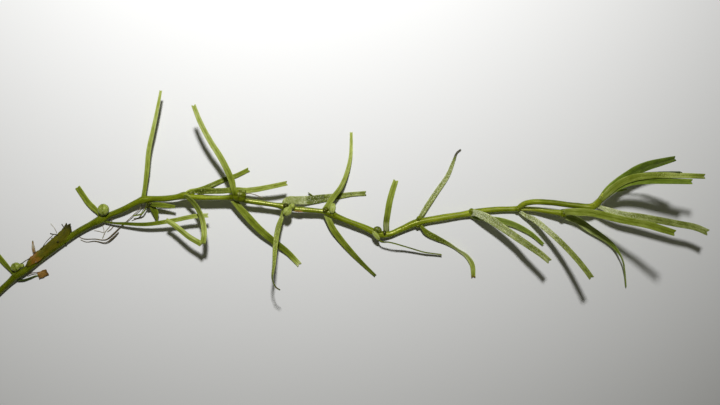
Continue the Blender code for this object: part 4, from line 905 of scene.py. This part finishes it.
witheredPieces = {
    "deadLeaf": {
        "node": "dead_leaf", "slot": "withered_brown", "notch": 0.5,
        "route": [(-47.3, -9.08, 1.05, 0.5, -12), (-46.75, -8.42, 1.1, 1.1, -12),
            (-45.95, -7.74, 1.15, 1.5, -12), (-44.87, -6.9, 1.1, 1.42, -12), (-43.87, -6.13, 1.1, 1.5, -10),
            (-42.88, -5.3, 1.05, 1.62, -8), (-42.18, -4.62, 1, 1.6, -6), (-41.7, -3.92, 0.95, 1.36, -4),
            (-41.45, -2.86, 0.8, 0.75)],
        "tone": {0: 0.2, 0.07: 0.5, 0.13: 0.78, 0.24: 0.7, 0.31: 0.42, 0.7: 0.42, 0.88: 0.34, 0.93: 0.05,
            1: 0}, "speckle": 0, "brown": 0,
        "shape": {"Thickness": 0.06 * mm, "Ripple": 0.3 * mm, "Ragged": 0.5, "Groove": -0.35 * mm}},
    "deadSpike": {
        "node": "dead_spike", "slot": "withered_brown", "notch": 0.0,
        "route": [(-46.2, -7.1, 1.25, 0.4, 20), (-46.25, -6.5, 1.35, 0.46, 10),
            (-46.3, -5.95, 1.35, 0.34, 5), (-46.35, -5.4, 1.3, 0.16)],
        "tone": {0: 0.84, 0.3: 0.95, 0.75: 0.95, 1: 0.5}, "speckle": 0, "brown": 0,
        "shape": {"Thickness": 0.05 * mm, "Ripple": 0.2 * mm, "Ragged": 0.5}},
    "brownFlake": {
        "node": "brown_flake", "slot": "flake_brown", "notch": 0.1,
        "route": [(-45.9, -10.42, 0.35, 1), (-45.2, -10.15, 0.3, 1.08, 5), (-44.5, -9.85, 0.3, 1, 10)],
        "tone": {0: 0.5, 0.6: 0.6, 1: 0.3}, "speckle": 0, "brown": 0,
        "shape": {"Thickness": 0.05 * mm, "Ripple": 0.3 * mm, "Ragged": 0.6, "Groove": 0.0}},
}
for number, (name, piece) in enumerate(witheredPieces.items(), leafDetail["firstWitheredSeed"]):
    settle(growLeaf(name, piece, number, fromStem=False), piece["slot"], piece["node"])
print("withered pieces grown:", len(witheredPieces))


# Fruits: middle in mm, half length, half width and half height in mm, turns in degrees, tone, and how
# deep the creases are

fruits = {
    "fruit_1a": ((-48.85, -9.15, 1), (0.72, 0.52, 0.66), (80, 0, 25), 0.4, 0.08),
    "fruit_1b": ((-48.05, -8.95, 0.95), (0.38, 0.34, 0.36), (70, 0, 0), 0.55),
    "fruit_2": ((-36.28, -1, 1.55), (0.82, 0.62, 0.82), (84, 0, 8), 0.5, 0.03),
    "fruit_5": ((-16.45, 1.45, 2.65), (0.52, 0.46, 0.44), (70, 0, 50), 0.35, 0.02),
    "fruit_6a": ((-10.2, -1.27, 2.5), (0.64, 0.56, 0.7), (75, 0, -40), 0.62, 0.07),
    "fruit_6b": ((-9.62, -0.58, 2.25), (0.5, 0.42, 0.42), (60, 0, 30), 0.56, 0.02),
    "fruit_7": ((-3.85, -0.82, 2), (0.46, 0.42, 0.74), (84, 0, -8), 0.7, 0.06),
    "fruit_8a": ((2.26, -4.66, 1.6), (0.38, 0.38, 0.8), (0, 90, -52), 0.62, 0.06),
    "fruit_8b": ((2.5, -3.88, 1.15), (0.62, 0.4, 0.5), (80, 0, -20), 0.16, 0.03),
}

# Buds in the angles between leaves and stem, half sunk into the stem; they have no solid of their own.
# The last word, where there is one, is another skin than the buds' own

buds = {
    "bud3a": ((-29.75, -0.15, 1.3), (0.42, 0.38, 0.36), (0, 0, 30), 0.05),
    "bud3b": ((-29.25, -0.42, 1.25), (0.34, 0.28, 0.3), (0, 0, -30), 0.1),
    "bud3c": ((-30, -0.55, 1.05), (0.36, 0.3, 0.3), (0, 0, 60), 0),
    "bud4": ((-24, 1.2, 2.1), (0.8, 0.5, 0.35), (0, 0, 25), 0.45),
    "bud5": ((-16.95, 0.95, 2.65), (0.98, 0.86, 0.5), (0, 0, -10), 0.42),
    "bud6": ((-10.45, -0.5, 2.1), (0.45, 0.42, 0.42), (0, 0, 0), 0.08),
    "bud7a": ((-3.85, -1.5, 1.5), (0.46, 0.52, 0.4), (0, 0, 20), 0.62),
    "bud7b": ((-4.85, -1.05, 1.6), (0.5, 0.42, 0.38), (0, 0, 60), 0.3),
    "bud8": ((3.45, -4.4, 0.9), (0.3, 0.46, 0.32), (0, 0, 0), 0),
    "bud9a": ((8.35, -2.3, 0.95), (0.4, 0.36, 0.34), (0, 0, 60), 0.5),
    "bud9b": ((8.3, -3.3, 0.75), (0.42, 0.3, 0.3), (0, 0, 20), 0.35),
    "bud10": ((15.85, -1.3, 0.85), (0.42, 0.5, 0.38), (0, 0, 0), 0.5),
    "bud11": ((22.5, -0.85, 0.9), (0.5, 0.42, 0.36), (0, 0, 40), 0.55),
    "bud12": ((28.75, -1.6, 1.6), (0.5, 0.58, 0.42), (0, 0, 0), 0.45),
    "bud13a": ((32.95, -0.25, 3.1), (0.45, 0.34, 0.34), (0, 0, 20), 0.8),
    "bud13b": ((33.7, 1, 4), (0.34, 0.26, 0.26), (0, 0, 50), 0.9),
    "knob": ((-42, -5.75, 0.55), (0.3, 0.22, 0.25), (0, 0, -30), 0),
    "scar": ((-42.87, -5.56, 1.16), (0.24, 0.17, 0.1), (0, 0, 35), 0, "withered_brown"),
    "scale6": ((-8.75, -1.22, 1.84), (0.7, 0.14, 0.12), (0, 0, -6), 0.8, "flake_brown"),
}
fruitLook = {"speckle": 0.3, "brown": 0.1}
plainCrease, budCrease, firstBudSeed = 0.13, 0.03, 20


def growFruit(name, middle, half, turn, tone, crease, number, skin):
    source = bpy.data.objects.new(name + "Seed", bpy.data.meshes.new(name + "Seed"))
    obj = growPiece(name, source, fruitTree, {
        "Half Sizes": [size * mm for size in half], "Turn": [math.radians(angle) for angle in turn],
        "Crease": crease, "Middle": list(inPlace(middle)), "Seed": number, "Material": materials[skin]})
    for key, value in {"tone": tone, **fruitLook}.items():
        data = obj.data.attributes.new(key, "FLOAT", "POINT").data
        data.foreach_set("value", np.full(len(data), value, np.float32))
    return obj


for number, (node, row) in enumerate(fruits.items()):
    middle, half, turn, tone, crease = (*row, plainCrease)[:5]
    obj = growFruit(node.replace("_", ""), middle, half, turn, tone, crease, number, "fruit_green")
    settle(obj, "fruit_green", node)
for number, (name, (middle, half, turn, tone, *other)) in enumerate(buds.items(), firstBudSeed):
    skin, slotName = other * 2 or ("bud", "stem_green")
    settle(growFruit(name, middle, half, turn, tone, budCrease, number, skin), slotName)
print("fruits grown:", len(fruits), "and buds:", len(buds))


# Plain pale paper, one round lamp above and behind the sprig, and the camera straight above it

stage = {
    "paper": "#e2e2e2", "paperHalf": 0.4, "paperRoughness": 0.9, "paperSpecular": 0.2,
    "lampPlace": (0.0141, 0.1648, 0.302), "lampSize": 0.035, "lampAim": (-0.009, 0.063, 0.0),
    "lampSpread": 43.5, "lampPower": 0.107, "fill": 0.065, "fillColour": (1.0, 1.0, 0.75, 1.0),
    "cameraPlace": (0.0041, -0.0002, 0.150), "lens": 52.5, "sensor": 36.0, "nearest": 0.001}


def putInScene(name, data, location=(0.0, 0.0, 0.0)):
    obj = bpy.data.objects.new(name, data)
    obj.location = location
    bpy.context.scene.collection.objects.link(obj)
    return obj


def buildPaper():
    material = bpy.data.materials.new("mattPaper")
    material.use_nodes = True
    inputs = material.node_tree.nodes["Principled BSDF"].inputs
    inputs["Base Color"].default_value = linearColour(stage["paper"])
    inputs["Roughness"].default_value = stage["paperRoughness"]
    inputs["Specular IOR Level"].default_value = stage["paperSpecular"]
    mesh = bpy.data.meshes.new("paper")
    half = stage["paperHalf"]
    corners = [(-half, -half, 0), (half, -half, 0), (half, half, 0), (-half, half, 0)]
    mesh.from_pydata(corners, [], [(0, 1, 2, 3)])
    mesh.materials.append(material)
    putInScene("paper", mesh)


def buildLights():
    data = bpy.data.lights.new("lamp", "AREA")
    data.shape, data.size, data.energy = "DISK", stage["lampSize"], stage["lampPower"]
    data.spread = math.radians(stage["lampSpread"])
    lamp = putInScene("lamp", data, stage["lampPlace"])
    lamp.rotation_euler = (lamp.location - Vector(stage["lampAim"])).to_track_quat("Z", "Y").to_euler()
    world = bpy.data.worlds.new("fill")
    world.use_nodes = True
    world.node_tree.nodes["Background"].inputs["Color"].default_value = stage["fillColour"]
    world.node_tree.nodes["Background"].inputs["Strength"].default_value = stage["fill"]
    bpy.context.scene.world = world
    bpy.context.scene.view_settings.view_transform = "Standard"


def buildCamera():
    data = bpy.data.cameras.new("camera")
    data.lens, data.sensor_width, data.clip_start = stage["lens"], stage["sensor"], stage["nearest"]
    bpy.context.scene.camera = putInScene("camera", data, stage["cameraPlace"])


buildPaper()
buildLights()
buildCamera()
print("stage, lamp and camera set")
